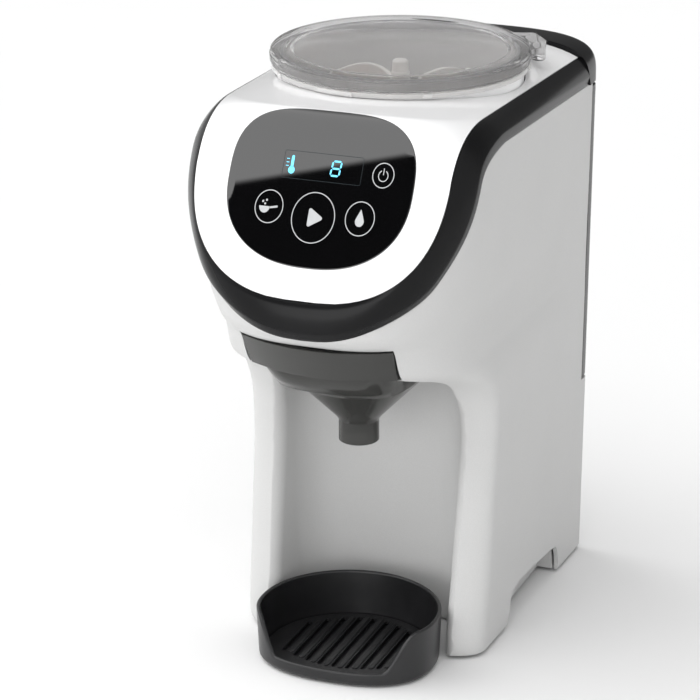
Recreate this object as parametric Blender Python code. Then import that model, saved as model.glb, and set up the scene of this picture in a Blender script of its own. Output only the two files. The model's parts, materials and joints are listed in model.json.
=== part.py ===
"""Countertop formula dispenser: an assembly of separate moulded and bought-in pieces.

Metres, +Z up.  X is width (symmetric about x = 0), the control panel faces -Y,
the water tank is at +Y, and the feet stand on z = 0.  Design dimensions below are
in millimetres in the drawing frame; P() turns them into metres and centres the
object's depth on the origin.
"""
import bpy
import bmesh
import math
from mathutils import Vector

# ------------------------------------------------------------------ dimensions (mm)
MM = 0.001
Y_SHIFT = 2.14             # drawing frame to object frame, centres the depth on y = 0
GAP = 0.3                  # working gap between neighbouring pieces
WALL = 2.5                 # general moulding wall

# fascia: a flat control face leaning back, rolled over into a nearly flat top
FACE_Y, FACE_Z = -118.0, 243.0     # a point of the control face on the centre plane
FACE_LEAN = 28.0                   # degrees from vertical
FACE_BOTTOM_Z = 226.4
FACE_HALF_W = 69.0                 # widest half-width of the control face outline
FACE_MID_Z = 290.0
FACE_POWER = 2.5
FASCIA_REAR_Y = 104.2
FASCIA_T = 2.4

# hopper on top
HOP_Y = 18.6                       # hopper axis, x = 0
HOP_R = 64.0
LID_R = 69.8
LID_TOP = 323.6
RING_Z = 313.2
COLLAR_R = 66.5

# bottle bay and funnel
BAY_W, BAY_BACK, BAY_TOP = 50.5, 8.0, 175.0
BAY_FOOT_W = 48.6                  # half-width of the bay at the feet
BAY_MID_Y, BAY_POWER = -38.5, 3.4  # where its rounded back begins
SPOUT_Y = -43.4
SPOUT_Z = 122.0
SPOUT_R = 10.9
BAND_W = 41.8                      # funnel front band half-width
BAND_Z0, BAND_Z1 = 178.0, 197.0

# tank at the rear
REAR_Y = 132.0
TANK_Y0 = 105.5
TANK_Z0, TANK_Z1 = 109.0, 283.0
SHELF_Z = 108.0

TRAY_W, TRAY_BACK = 50.5, 50.0      # half-width, depth of the round back
TRAY_MID_Y, TRAY_FRONT = -59.0, -96.5
TRAY_DRAFT = 1.2

TAN_LEAN = math.tan(math.radians(FACE_LEAN))

# stations of the housing: height, front y, corner depth, corner power, half-width at the front
BODY = [
    (1.5, -46.0, 22.0, 3.3, 68.5), (8.0, -48.0, 23.0, 3.3, 69.5), (40.0, -42.5, 21.0, 3.4, 70.1),
    (80.0, -35.8, 18.0, 3.5, 70.5), (118.0, -30.6, 16.0, 3.6, 71.0), (135.0, -31.5, 17.0, 3.5, 71.7),
    (150.0, -39.3, 21.0, 3.3, 72.5), (160.0, -51.5, 28.0, 3.1, 72.8), (168.0, -71.0, 44.0, 2.8, 71.6),
    (174.0, -90.5, 62.0, 2.65, 70.2), (178.0, -100.0, 71.0, 2.65, 69.3), (185.0, -106.5, 80.0, 2.65, 69.3),
    (197.0, -113.5, 92.0, 2.7, 70.0), (205.4, -126.0, 103.0, 2.55, 70.9), (215.0, -128.0, 99.0, 2.55, 73.4),
    (230.0, -129.0, 91.0, 2.6, 75.6), (245.0, -129.0, 78.0, 2.6, 77.0), (260.0, -128.0, 64.0, 2.6, 77.9),
    (280.0, -127.0, 52.0, 2.6, 78.5), (300.0, -127.0, 50.0, 2.6, 79.0)]


def P(x, y, z):
    return Vector((x * MM, (y - Y_SHIFT) * MM, z * MM))


# ------------------------------------------------------------------ shape functions
def body_at(z):
    """Housing section values at a height, a Hermite curve through the stations."""
    t = BODY
    if z <= t[0][0]:
        return t[0][1:]
    if z >= t[-1][0]:
        return t[-1][1:]
    i = max(k for k in range(len(t)) if t[k][0] <= z)
    a, b = t[i], t[i + 1]
    h = b[0] - a[0]
    u = (z - a[0]) / h
    out = []
    for c in range(1, 5):
        sec = (b[c] - a[c]) / h
        sa = sec if i == 0 else (a[c] - t[i - 1][c]) / (a[0] - t[i - 1][0])
        sb = sec if i + 2 >= len(t) else (t[i + 2][c] - b[c]) / (t[i + 2][0] - b[0])
        m0 = 0.0 if sa * sec <= 0 else 2 * sa * sec / (sa + sec)
        m1 = 0.0 if sb * sec <= 0 else 2 * sb * sec / (sb + sec)
        out.append((2 * u**3 - 3 * u**2 + 1) * a[c] + (u**3 - 2 * u**2 + u) * h * m0
                   + (-2 * u**3 + 3 * u**2) * b[c] + (u**3 - u**2) * h * m1)
    return tuple(out)


def rear_half(z):
    return 73.2 + 3.2 * z / 270.0


def half_width(y, z):
    """Half-width of the housing's outer surface at depth y and height z."""
    yf, d, p, hw = body_at(z)
    if y <= yf:
        return 0.0
    if y < yf + d:
        t = (yf + d - y) / d
        return hw * (1 - t**p) ** (1 / p)
    ys = yf + d
    return hw + (rear_half(z) - hw) * (y - ys) / (REAR_Y - 5.0 - ys)


def body_ring(z, inset=0.0, n=8, rear=REAR_Y, r=5.0):
    """Right half of the plan section from the front centre to the rear centre."""
    yf, d, p, hw = body_at(z)
    pts = []
    for k in range(n + 1):
        a = math.pi / 2 * (1 - k / n)
        c, s = math.cos(a), math.sin(a)
        pts.append([hw * abs(c) ** (2 / p), yf + d - d * abs(s) ** (2 / p)])
    ys = yf + d
    rh = rear_half(z)
    ye = rear - r
    for k in range(1, 4):
        t = k / 3
        y = ys + (ye - ys) * t
        pts.append([hw + (rh - hw) * (y - ys) / (REAR_Y - 5.0 - ys), y])
    for k in range(1, 3):
        a = math.pi / 2 * k / 2
        pts.append([pts[n + 3][0] - r + r * math.cos(a), ye + r * math.sin(a)])
    pts.append([0.0, rear])
    if inset:
        out = []
        for i, q in enumerate(pts):
            if i == 0:
                out.append([0.0, q[1] + inset])
                continue
            if i == len(pts) - 1:
                out.append([0.0, q[1] - inset])
                continue
            a, b = pts[i - 1], pts[i + 1]
            tx, ty = b[0] - a[0], b[1] - a[1]
            m = math.hypot(tx, ty)
            out.append([max(q[0] - inset * ty / m, 0.5), q[1] + inset * tx / m])
        pts = out
    full = pts + [[-x, y] for x, y in reversed(pts[1:-1])]
    return [(x, y, z) for x, y in full]


def face_y(z):
    return FACE_Y + TAN_LEAN * (z - FACE_Z)


def face_half(z):
    """Half-width of the control face's outline at height z."""
    t = min(1.0, max(0.0, (FACE_MID_Z - z) / (FACE_MID_Z - FACE_BOTTOM_Z)))
    return FACE_HALF_W * max(0.0, 1 - t**FACE_POWER) ** (1 / FACE_POWER)


def arc_between(p0, corner, p1, n):
    """Smooth quadratic turn from p0 to p1 around a corner."""
    out = []
    for k in range(n + 1):
        t = k / n
        out.append(tuple((1 - t) ** 2 * p0[i] + 2 * t * (1 - t) * corner[i] + t * t * p1[i] for i in range(2)))
    return out


def fascia_profiles(n_face=8, n_roll=5, n_top=4, rear=FASCIA_REAR_Y):
    """Matching side-view curves of the fascia: along its edge and along its centre."""
    def build(z_tan, y_tan, top_z, slope, z0):
        corner_z = None
        # the corner is where the face line meets the top line
        zc = (top_z - slope * (FACE_Y - TAN_LEAN * FACE_Z - y_tan)) / (1 + slope * TAN_LEAN)
        corner = (face_y(zc), zc)
        face = []
        for k in range(n_face + 1):
            t = k / n_face
            z = z0 + (z_tan - z0) * (1 - (1 - t) ** 1.35)
            z = z0 + (z_tan - z0) * t ** 1.25
            face.append((face_y(z), z))
        p1 = (y_tan, top_z)
        roll = arc_between(face[-1], corner, p1, n_roll)[1:]
        top = [(y_tan + (rear - y_tan) * k / n_top, top_z - slope * (rear - y_tan) * k / n_top)
               for k in range(1, n_top + 1)]
        return face + roll + top
    edge = build(284.0, -48.0, 308.3, 0.034, FACE_BOTTOM_Z + 0.15)
    mid = build(308.5, -76.0, 313.0, 0.012, FACE_BOTTOM_Z + 0.15)
    return edge, mid


def fascia_half(i_frac_y, z, y):
    """Half-width of the fascia outline at a point of its edge curve."""
    if z < FACE_MID_Z - 6 and y < -90:
        return face_half(z)
    return min(73.0, 68.8 + 4.2 * max(0.0, (y + 97.0)) / (FASCIA_REAR_Y + 97.0)) if z > 280 else face_half(z)


def cut_profile(n=10):
    """Side-view curve of the housing's upper edge, where the black trim sits on it."""
    def off(z):
        t = min(1.0, max(0.0, (z - 207.0) / 28.0))
        return 12.0 + 10.0 * t * t * (3 - 2 * t)
    pts = []
    for k in range(n + 1):
        z = 205.4 + (284.0 - 205.4) * (k / n) ** 1.3
        pts.append((face_y(z) + off(z), z))
    p1 = (-38.0, 294.0)
    roll = arc_between(pts[-1], (-67.0, 292.6), p1, 5)[1:]
    top = [(p1[0] + (111.5 - p1[0]) * k / 5, p1[1] - 0.056 * (111.5 - p1[0]) * k / 5) for k in range(1, 6)]
    return pts + roll + top


# ------------------------------------------------------------------ modelling helpers
MATS = {}


def material(name, rgb, rough=0.45, metal=0.0, alpha=1.0):
    m = bpy.data.materials.new(name)
    m.use_nodes = True
    b = m.node_tree.nodes["Principled BSDF"]
    b.inputs["Base Color"].default_value = (rgb[0], rgb[1], rgb[2], 1.0)
    b.inputs["Roughness"].default_value = rough
    b.inputs["Metallic"].default_value = metal
    b.inputs["Alpha"].default_value = alpha
    m.diffuse_color = (rgb[0], rgb[1], rgb[2], alpha)
    return m


LOOKS = {
    "white_matte": ((0.80, 0.80, 0.79), 0.55), "white_gloss": ((0.90, 0.90, 0.90), 0.12),
    "black_gloss": ((0.02, 0.02, 0.022), 0.12), "black_glass": ((0.01, 0.01, 0.012), 0.05),
    "black_satin": ((0.03, 0.03, 0.03), 0.35), "smoke": ((0.16, 0.16, 0.155), 0.15, 0.0, 0.7),
    "clear": ((0.85, 0.87, 0.88), 0.1, 0.0, 0.3), "salmon": ((0.85, 0.42, 0.33), 0.5),
    "ivory": ((0.83, 0.82, 0.78), 0.4), "steel": ((0.6, 0.6, 0.62), 0.3, 1.0),
    "rubber": ((0.05, 0.05, 0.05), 0.8), "pcb": ((0.02, 0.16, 0.08), 0.4),
    "grey": ((0.35, 0.36, 0.37), 0.5), "silicone": ((0.75, 0.77, 0.78), 0.4, 0.0, 0.6),
    "brass": ((0.75, 0.6, 0.3), 0.3, 1.0), "display": ((0.02, 0.10, 0.13), 0.2)}


def finish(name, bm, look, smooth=True):
    """Turn a bmesh into a named object with outward faces and its own material."""
    bmesh.ops.remove_doubles(bm, verts=bm.verts, dist=1e-7)
    bmesh.ops.recalc_face_normals(bm, faces=bm.faces)
    me = bpy.data.meshes.new(name)
    bm.to_mesh(me)
    bm.free()
    ob = bpy.data.objects.new(name, me)
    bpy.context.scene.collection.objects.link(ob)
    if look:
        me.materials.append(material(name + "_mat", *LOOKS[look]))
    if smooth:
        me.shade_smooth()
        me.set_sharp_from_angle(angle=math.radians(35))
    return ob


def loft(name, rings, look=None, close=False, tri=False):
    """Bridge rings of equal point count; cap the ends, or join the last to the first."""
    bm = bmesh.new()
    vs = [[bm.verts.new(P(*q)) for q in r] for r in rings]
    n = len(rings[0])
    m = len(rings)
    for i in range(m if close else m - 1):
        a, b = vs[i], vs[(i + 1) % m]
        for j in range(n):
            bm.faces.new((a[j], a[(j + 1) % n], b[(j + 1) % n], b[j]))
    if not close:
        bm.faces.new(list(reversed(vs[0])))
        bm.faces.new(vs[-1])
    if tri:
        bmesh.ops.triangulate(bm, faces=[f for f in bm.faces if len(f.verts) == 4])
    return finish(name, bm, look)


def prism(name, outline, lo, hi, axis="z", look=None):
    """Extrude a closed 2D outline between two levels of an axis."""
    bm = bmesh.new()

    def at(q, h):
        if axis == "z":
            return P(q[0], q[1], h)
        if axis == "x":
            return P(h, q[0], q[1])
        return P(q[0], h, q[1])
    base = bm.faces.new([bm.verts.new(at(q, lo)) for q in outline])
    r = bmesh.ops.extrude_face_region(bm, geom=[base])
    new = [g for g in r["geom"] if isinstance(g, bmesh.types.BMVert)]
    shift = at(outline[0], hi) - at(outline[0], lo)
    bmesh.ops.translate(bm, vec=shift, verts=new)
    return finish(name, bm, look)


def box(name, x0, x1, y0, y1, z0, z1, look=None, bevel=0.0, seg=2):
    bm = bmesh.new()
    bmesh.ops.create_cube(bm, size=1.0)
    lo, hi = P(x0, y0, z0), P(x1, y1, z1)
    for v in bm.verts:
        v.co = Vector([lo[i] + (hi[i] - lo[i]) * (v.co[i] + 0.5) for i in range(3)])
    if bevel:
        bmesh.ops.bevel(bm, geom=list(bm.edges), offset=bevel * MM, segments=seg, affect="EDGES", profile=0.5)
    return finish(name, bm, look)


def lathe(name, profile, cx, cy, look=None, n=40, start=0.0):
    """Revolve a closed (radius, height) outline about a vertical axis."""
    bm = bmesh.new()
    c = P(cx, cy, 0.0)
    ca, sa = math.cos(start), math.sin(start)
    vs = [bm.verts.new(c + Vector((r * MM * ca, r * MM * sa, z * MM))) for r, z in profile]
    on_axis = [r < 1e-6 for r, z in profile]
    es = []
    for i in range(len(vs)):
        j = (i + 1) % len(vs)
        if on_axis[i] and on_axis[j]:
            continue
        es.append(bm.edges.new((vs[i], vs[j])))
    bmesh.ops.spin(bm, geom=vs + es, cent=c, axis=(0, 0, 1), angle=2 * math.pi, steps=n, use_merge=True)
    bmesh.ops.remove_doubles(bm, verts=bm.verts, dist=1e-6)
    return finish(name, bm, look)


def circle(cx, cy, r, n=32, start=0.0):
    return [(cx + r * math.cos(start + 2 * math.pi * k / n), cy + r * math.sin(start + 2 * math.pi * k / n))
            for k in range(n)]


def rounded_rect(x0, x1, y0, y1, r, n=5):
    out = []
    for cx, cy, a0 in ((x1 - r, y1 - r, 0), (x0 + r, y1 - r, 90), (x0 + r, y0 + r, 180), (x1 - r, y0 + r, 270)):
        for k in range(n + 1):
            a = math.radians(a0 + 90 * k / n)
            out.append((cx + r * math.cos(a), cy + r * math.sin(a)))
    return out


def combine(ob, other, op="DIFFERENCE"):
    """Exact boolean, applied, with the second object removed."""
    mod = ob.modifiers.new("cut", "BOOLEAN")
    mod.operation = op
    mod.solver = "EXACT"
    mod.object = other
    bpy.context.view_layer.update()
    dg = bpy.context.evaluated_depsgraph_get()
    me = bpy.data.meshes.new_from_object(ob.evaluated_get(dg))
    ob.modifiers.clear()
    old = ob.data
    ob.data = me
    me.name = ob.name
    bpy.data.meshes.remove(old)
    bpy.data.objects.remove(other)
    return ob


def tidy(ob, dist=2e-6):
    """Weld slivers left by cuts and keep round faces smooth."""
    bm = bmesh.new()
    bm.from_mesh(ob.data)
    bmesh.ops.remove_doubles(bm, verts=bm.verts, dist=dist)
    bmesh.ops.dissolve_degenerate(bm, edges=bm.edges, dist=dist)
    bm.to_mesh(ob.data)
    bm.free()
    ob.data.set_sharp_from_angle(angle=math.radians(35))
    return ob


def set_origin(ob, pos):
    """Move an object's origin onto its joint axis, leaving the shape in place."""
    p = P(*pos)
    for v in ob.data.vertices:
        v.co -= p
    ob.location = p


def tube(name, pts, r, look):
    """A hose: a poly curve with a round bevel and closed ends, through smooth points."""
    def cr(t, a, b, c, d):
        return 0.5 * ((2 * b) + (-a + c) * t + (2 * a - 5 * b + 4 * c - d) * t * t + (-a + 3 * b - 3 * c + d) * t**3)
    p = [Vector(q) for q in pts]
    p = [2 * p[0] - p[1]] + p + [2 * p[-1] - p[-2]]
    fine = []
    for i in range(1, len(p) - 2):
        for k in range(3):
            t = k / 3
            fine.append(Vector([cr(t, p[i - 1][c], p[i][c], p[i + 1][c], p[i + 2][c]) for c in range(3)]))
    fine.append(p[-2])
    cu = bpy.data.curves.new(name, "CURVE")
    cu.dimensions = "3D"
    cu.bevel_depth = r * MM
    cu.bevel_resolution = 1
    cu.use_fill_caps = True
    sp = cu.splines.new("POLY")
    sp.points.add(len(fine) - 1)
    for s, q in zip(sp.points, fine):
        w = P(*q)
        s.co = (w.x, w.y, w.z, 1.0)
    ob = bpy.data.objects.new(name, cu)
    bpy.context.scene.collection.objects.link(ob)
    cu.materials.append(material(name + "_mat", *LOOKS[look]))
    return ob


# ------------------------------------------------------------------ start clean
for o in list(bpy.data.objects):
    bpy.data.objects.remove(o)


# ------------------------------------------------------------------ outer housing
def bay_half(z):
    return BAY_FOOT_W + (BAY_W - BAY_FOOT_W) * min(1.0, max(0.0, z / 118.0))


def bay_rings(grow=0.0):
    """Bottle bay: an alcove with a rounded back whose walls turn into the ceiling with a soft corner."""
    rings = []
    levels = [(-5.0, 0.0), (118.0, 0.0), (160.0, 0.0), (166.0, 0.8), (170.5, 3.0), (173.6, 7.0), (175.0, 12.0)]
    n = 9
    for z, e in levels:
        w = bay_half(z) - e + grow
        d = BAY_BACK - e * 0.6 + grow - BAY_MID_Y
        zz = z + (grow if z > 0 else 0)
        ring = [(w, -200.0, zz)]
        for k in range(2 * n + 1):
            a = math.pi / 2 * k / n
            c, t = math.cos(a), math.sin(a)
            ring.append((w * math.copysign(abs(c) ** (2 / BAY_POWER), c), BAY_MID_Y + d * abs(t) ** (2 / BAY_POWER), zz))
        ring.append((-w, -200.0, zz))
        rings.append(ring)
    return rings


Z_OUT = [1.5, 4.0, 12.0, 40.0, 80.0, 118.0, 135.0, 145.0, 152.0, 158.0, 163.0, 168.0, 172.0, 178.0, 186.0,
         197.0, 205.4, 215.0, 226.0, 238.0, 252.0, 268.0, 300.0]


def pocket_outline(front_w, back_w, step_y, back_y):
    """Plan of the funnel pocket: narrow where the band shows, wider behind for the rails."""
    return [(front_w, -180.0), (front_w, step_y), (back_w, step_y), (back_w, back_y),
            (-back_w, back_y), (-back_w, step_y), (-front_w, step_y), (-front_w, -180.0)]


def outer_rings(inset=0.0, lower=0.0):
    out = []
    for z in (Z_OUT if not inset else [q for q in Z_OUT if q not in (80.0, 135.0, 186.0, 238.0, 268.0)]):
        i = inset
        if not inset and z < 4.0:
            i = 1.2
        zz = z if z < 140 or not inset else z - 2.0
        ring = body_ring(zz, i, 8 if not inset else 6)
        zo = z
        if inset:
            zo = z if z > 2 else -5.0
            if z > 290:
                zo = 310.0
        out.append([(x, y, zo) for x, y, _ in ring])
    return out


housing = loft("outer_housing", outer_rings(), "white_matte", tri=True)

cavity = loft("cavity", outer_rings(WALL), tri=True)
combine(cavity, loft("c1", bay_rings(WALL), tri=True))
combine(cavity, prism("c2", pocket_outline(44.8, 49.8, -88.5, 0.6), 170.3, 200.8))
combine(cavity, box("c4", -90.0, 90.0, TANK_Y0 - 0.3 - WALL, 200.0, SHELF_Z - WALL, 400.0))
combine(housing, cavity)
combine(housing, loft("c5", bay_rings(), tri=True))
combine(housing, prism("c6", pocket_outline(42.2, 47.3, -86.0, -2.0), 177.7, 198.3))
combine(housing, box("c7b", -37.8, 37.8, -180.0, -4.0, 160.0, 183.0))
combine(housing, box("c8", -26.0, 26.0, -62.0, -20.0, 190.0, 205.0))
combine(housing, box("c9", -71.8, 71.8, TANK_Y0 - 0.3, 200.0, SHELF_Z, 400.0))
combine(housing, box("c10", -95.0, 95.0, 125.0, 200.0, SHELF_Z, 400.0))
combine(housing, box("c17", -71.8, 71.8, 98.0, 200.0, 283.4, 400.0))
combine(housing, prism("c11", circle(0, 118.0, 9.0, 24), 100.0, 112.0))
# upper edge: cut to the curve the black trim follows
prof = cut_profile(14)
outline = [(-260.0, 203.5), (prof[0][0] - 2.0, 203.5)] + prof + [(200.0, prof[-1][1] - 5.0), (200.0, 420.0), (-260.0, 420.0)]
combine(housing, prism("c12", outline, -120.0, 120.0, "x"))
# finger recesses at both sides of the base, each a lined pocket
arch = [(4.6, -5.0), (5.6, 6.0), (8.4, 16.5), (14.0, 21.2), (22.0, 23.0), (34.0, 22.8), (62.0, 21.0), (76.0, 19.8), (83.0, 17.6), (87.2, 12.6),
        (90.0, 5.0), (91.0, -5.0)]
liner = [(2.2, 1.5), (3.2, 7.0), (6.3, 18.0), (12.8, 23.5), (22.0, 25.4), (34.0, 25.2), (62.4, 23.4), (76.8, 22.2), (84.6, 19.6), (89.4, 13.8),
         (92.4, 5.6), (93.2, 1.5)]
for s in (-1, 1):
    combine(housing, prism("c13a", liner, min(s * 57.0, s * 68.6), max(s * 57.0, s * 68.6), "x"), "UNION")
    combine(housing, prism("c13", arch, min(s * 59.4, s * 120.0), max(s * 59.4, s * 120.0), "x"))
# rear heel lifted off the table, power inlet opening
combine(housing, prism("c15", [(123.8, -5.0), (124.0, 0.9), (129.0, 3.0), (134.0, 5.6), (150.0, 12.0), (150.0, -5.0)], -120.0, 120.0, "x"))
combine(housing, box("c16", 26.0, 54.0, 120.0, 150.0, 24.0, 44.0))
tidy(housing)

# ------------------------------------------------------------------ black trim band
edge, mid = fascia_profiles()


def edge_points():
    """Right-hand edge of the fascia outline, bottom centre to rear."""
    pts = []
    for y, z in edge:
        if z < 284.1 and y < -95:
            w = face_half(z)
        else:
            w = 68.8 + 4.2 * (y + 96.3) / (FASCIA_REAR_Y + 96.3)
        pts.append(Vector((w, y, z)))
    return pts


def resample(pts, fr):
    """Points at given fractions of the length of a polyline."""
    d = [0.0]
    for a, b in zip(pts[:-1], pts[1:]):
        d.append(d[-1] + (b - a).length)
    out = []
    for f in fr:
        s = f * d[-1]
        k = 0
        while k < len(pts) - 2 and d[k + 1] < s:
            k += 1
        u = (s - d[k]) / max(d[k + 1] - d[k], 1e-9)
        out.append(pts[k].lerp(pts[k + 1], min(max(u, 0), 1)))
    return out


def trim_curves(n_front=16, n_side=8):
    """Inner edge A (against the fascia) and outer edge B (on the housing), right-hand side."""
    zs = [FACE_BOTTOM_Z + (FACE_MID_Z - 6 - FACE_BOTTOM_Z) * (k / 30) ** 2 for k in range(31)]
    a_front = [Vector((face_half(z), face_y(z), z)) for z in zs]
    a_front = [Vector((0, face_y(FACE_BOTTOM_Z), FACE_BOTTOM_Z))] + a_front[1:]
    ep = edge_points()
    k0 = next(i for i, q in enumerate(ep) if q.z >= 283.9)
    split_a = next(i for i, q in enumerate(ep) if q.y > -48.5)
    a_front += ep[k0 + 1:split_a + 1]
    a_side = ep[split_a:]
    cp = cut_profile(14)
    b_all = [Vector((half_width(y + 1e-6, z) if z > 205.5 else 0.0, y, z)) for y, z in cp]
    split_b = next(i for i, q in enumerate(b_all) if q.y > -38.5)
    b_front, b_side = b_all[:split_b + 1], b_all[split_b:]
    fr = [k / n_front for k in range(n_front + 1)]
    fs = [k / n_side for k in range(1, n_side + 1)]
    A = resample(a_front, fr) + resample(a_side, fs)
    B = resample(b_front, fr) + resample(b_side, fs)
    return A, B


A, B = trim_curves()
FN = Vector((0, -math.cos(math.radians(FACE_LEAN)), math.sin(math.radians(FACE_LEAN))))


def profile_tangent(y, z):
    """Direction of the housing's upper-edge curve nearest to a point, in the side view."""
    best = min(range(len(CUT) - 1), key=lambda i: (0.5 * (CUT[i][0] + CUT[i + 1][0]) - y) ** 2 + (0.5 * (CUT[i][1] + CUT[i + 1][1]) - z) ** 2)
    return Vector((0, CUT[best + 1][0] - CUT[best][0], CUT[best + 1][1] - CUT[best][1])).normalized()


CUT = cut_profile(14)


def trim_section(i):
    """Cross-section of the trim band between its two edges, bulging outward."""
    a, b = A[i], B[i]
    tb = (B[min(i + 1, len(B) - 1)] - B[max(i - 1, 0)]).normalized() if i else Vector((1, 0, 0))
    seat = Vector((1, 0, 0)).cross(profile_tangent(b.y, b.z)).normalized()      # away from the housing
    inward = tb.cross(seat).normalized()
    if inward.x > 1e-6 or (i == 0 and inward.z < 0):
        inward = -inward
    up = max(0.0, min(1.0, (a.y + 96.0) / 40.0))
    n_f = (FN * (1 - up) + Vector((0.1, 0, 1)) * up).normalized()
    ab = b - a
    out = (n_f - ab * (n_f.dot(ab) / ab.dot(ab))).normalized()
    side = -inward
    side = side - ab * (side.dot(ab) / ab.dot(ab))
    if side.length > 1e-3:
        out = (out + side.normalized()).normalized()
    bulge = 2.2
    if seat.dot(n_f) < 0:
        seat = -seat
    gap = 0.60 + 0.75 * math.exp(-((b.y + 70.0) / 12.0) ** 2)
    return [a, a.lerp(b, 0.25) + out * bulge * 0.8, a.lerp(b, 0.6) + out * bulge, b + seat * gap,
            b + inward * 2.6 + seat * gap, a - n_f * 2.6]


half = [trim_section(i) for i in range(len(A))]
rings = [[(-q.x, q.y, q.z) for q in s] for s in reversed(half[1:])] + [[(q.x, q.y, q.z) for q in s] for s in half]
trim = loft("trim_band", rings, "black_gloss")

# ------------------------------------------------------------------ fascia
def fascia_solid():
    n_u = 10
    ep = edge_points()
    rows = []
    for i in range(len(edge)):
        w = ep[i].x - 0.6
        row = []
        for j in range(n_u + 1):
            u = -1 + 2 * j / n_u
            q = 1 - abs(u) ** 4.5
            y = edge[i][0] * (1 - q) + mid[i][0] * q
            z = edge[i][1] * (1 - q) + mid[i][1] * q
            row.append(Vector((w * math.sin(u * math.pi / 2) if i < 4 else w * u, y, z)))
        rows.append(row)
    rows[0] = [q + Vector((0, 0.16, 0.3)) for q in rows[0]]
    bm = bmesh.new()
    m, n = len(rows), n_u + 1
    nor = [[None] * n for _ in range(m)]
    for i in range(m):
        for j in range(n):
            du = rows[i][min(j + 1, n - 1)] - rows[i][max(j - 1, 0)]
            dv = rows[min(i + 1, m - 1)][j] - rows[max(i - 1, 0)][j]
            v = du.cross(dv)
            nor[i][j] = v.normalized()
    top = [[bm.verts.new(P(*rows[i][j])) for j in range(n)] for i in range(m)]
    low = [[bm.verts.new(P(*(rows[i][j] - nor[i][j] * FASCIA_T))) for j in range(n)] for i in range(m)]
    for i in range(m - 1):
        for j in range(n - 1):
            bm.faces.new((top[i][j], top[i][j + 1], top[i + 1][j + 1], top[i + 1][j]))
            bm.faces.new((low[i][j], low[i + 1][j], low[i + 1][j + 1], low[i][j + 1]))
    for i in range(m - 1):
        bm.faces.new((top[i][0], top[i + 1][0], low[i + 1][0], low[i][0]))
        bm.faces.new((top[i][n - 1], low[i][n - 1], low[i + 1][n - 1], top[i + 1][n - 1]))
    for j in range(n - 1):
        bm.faces.new((top[0][j], low[0][j], low[0][j + 1], top[0][j + 1]))
        bm.faces.new((top[m - 1][j], top[m - 1][j + 1], low[m - 1][j + 1], low[m - 1][j]))
    return finish("top_fascia", bm, "white_gloss")


GLASS_W, GLASS_MID, GLASS_DN, GLASS_UP = 50.0, 280.0, 38.3, 28.2


def on_face(x, z, out):
    """A point at height z of the control face, moved out along its normal."""
    return (x, face_y(z) + FN.y * out, z + FN.z * out)


def glass_outline(grow=0.0, n=32):
    pts = []
    for k in range(n):
        a = 2 * math.pi * k / n
        c, s = math.cos(a), math.sin(a)
        p = 3.2 if s > 0 else 2.35
        b = (GLASS_UP if s > 0 else GLASS_DN) + grow * 0.88
        r = (abs(c / (GLASS_W + grow)) ** p + abs(s / b) ** p) ** (-1 / p)
        pts.append((r * c, GLASS_MID + r * s))
    return pts


fascia = fascia_solid()
combine(fascia, prism("c20", circle(0, HOP_Y, COLLAR_R + 0.35, 32), 290.0, 330.0))
combine(fascia, loft("c21", [[on_face(x, z, -1.3) for x, z in glass_outline(0.35)], [on_face(x, z, 8.0) for x, z in glass_outline(0.35)]]))
combine(fascia, loft("c22", [[on_face(x, z, d) for x, z in rounded_rect(-23.5, 23.5, 278.0, 297.5, 1.5, 2)] for d in (-8.0, 8.0)]))
tidy(fascia)
glass = loft("control_glass", [[on_face(x, z, -1.0) for x, z in glass_outline()], [on_face(x, z, 0.55) for x, z in glass_outline()],
                               [on_face(x * 0.992, GLASS_MID + (z - GLASS_MID) * 0.99, 0.8) for x, z in glass_outline()]], "black_glass")
loft("display_module", [[on_face(x, z, d) for x, z in rounded_rect(-23.0, 23.0, 278.5, 297.0, 1.2, 2)] for d in (-6.5, -1.35)], "display")
loft("control_board", [[on_face(x, z, d) for x, z in rounded_rect(-40.0, 40.0, 250.0, 298.0, 3.0, 2)] for d in (-9.4, -7.8)], "pcb")

# ------------------------------------------------------------------ hopper group
lathe("hopper_socket", [(64.6, 262.0), (COLLAR_R, 262.0), (COLLAR_R, 312.7), (64.6, 312.7)], 0, HOP_Y, "white_gloss", 32)
hopper = lathe("hopper", [(9.5, 256.2), (HOP_R, 256.2), (HOP_R, RING_Z), (69.0, RING_Z), (69.0, 316.0), (HOP_R, 316.0),
                          (HOP_R, 319.7), (62.0, 319.7), (62.0, 258.7), (9.5, 258.7)], 0, HOP_Y, "clear", 32)
combine(hopper, box("c30", -9.0, 9.0, HOP_Y - 50.0, HOP_Y - 34.0, 250.0, 262.0))
lid = lathe("hopper_lid", [(0.0, 321.4), (64.6, 321.4), (64.6, 316.4), (69.3, 316.4), (LID_R, 317.0), (LID_R, 323.0),
                           (69.2, LID_TOP), (60.6, LID_TOP), (60.0, 323.0), (0.0, 323.0)], 0, HOP_Y, "clear", 32)
ta = math.radians(38.0)
tab = []
for r, s in ((66.5, -14.0), (78.0, -14.0), (80.0, -12.0), (80.0, 12.0), (78.0, 14.0), (66.5, 14.0)):
    tab.append((r * math.cos(ta) - s * math.sin(ta), HOP_Y + r * math.sin(ta) + s * math.cos(ta)))
combine(lid, prism("c31", tab, 316.9, 320.6), "UNION")
lathe("lid_seal", [(62.3, 319.95), (63.7, 319.95), (63.7, 321.1), (62.3, 321.1)], 0, HOP_Y, "silicone", 32)

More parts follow.
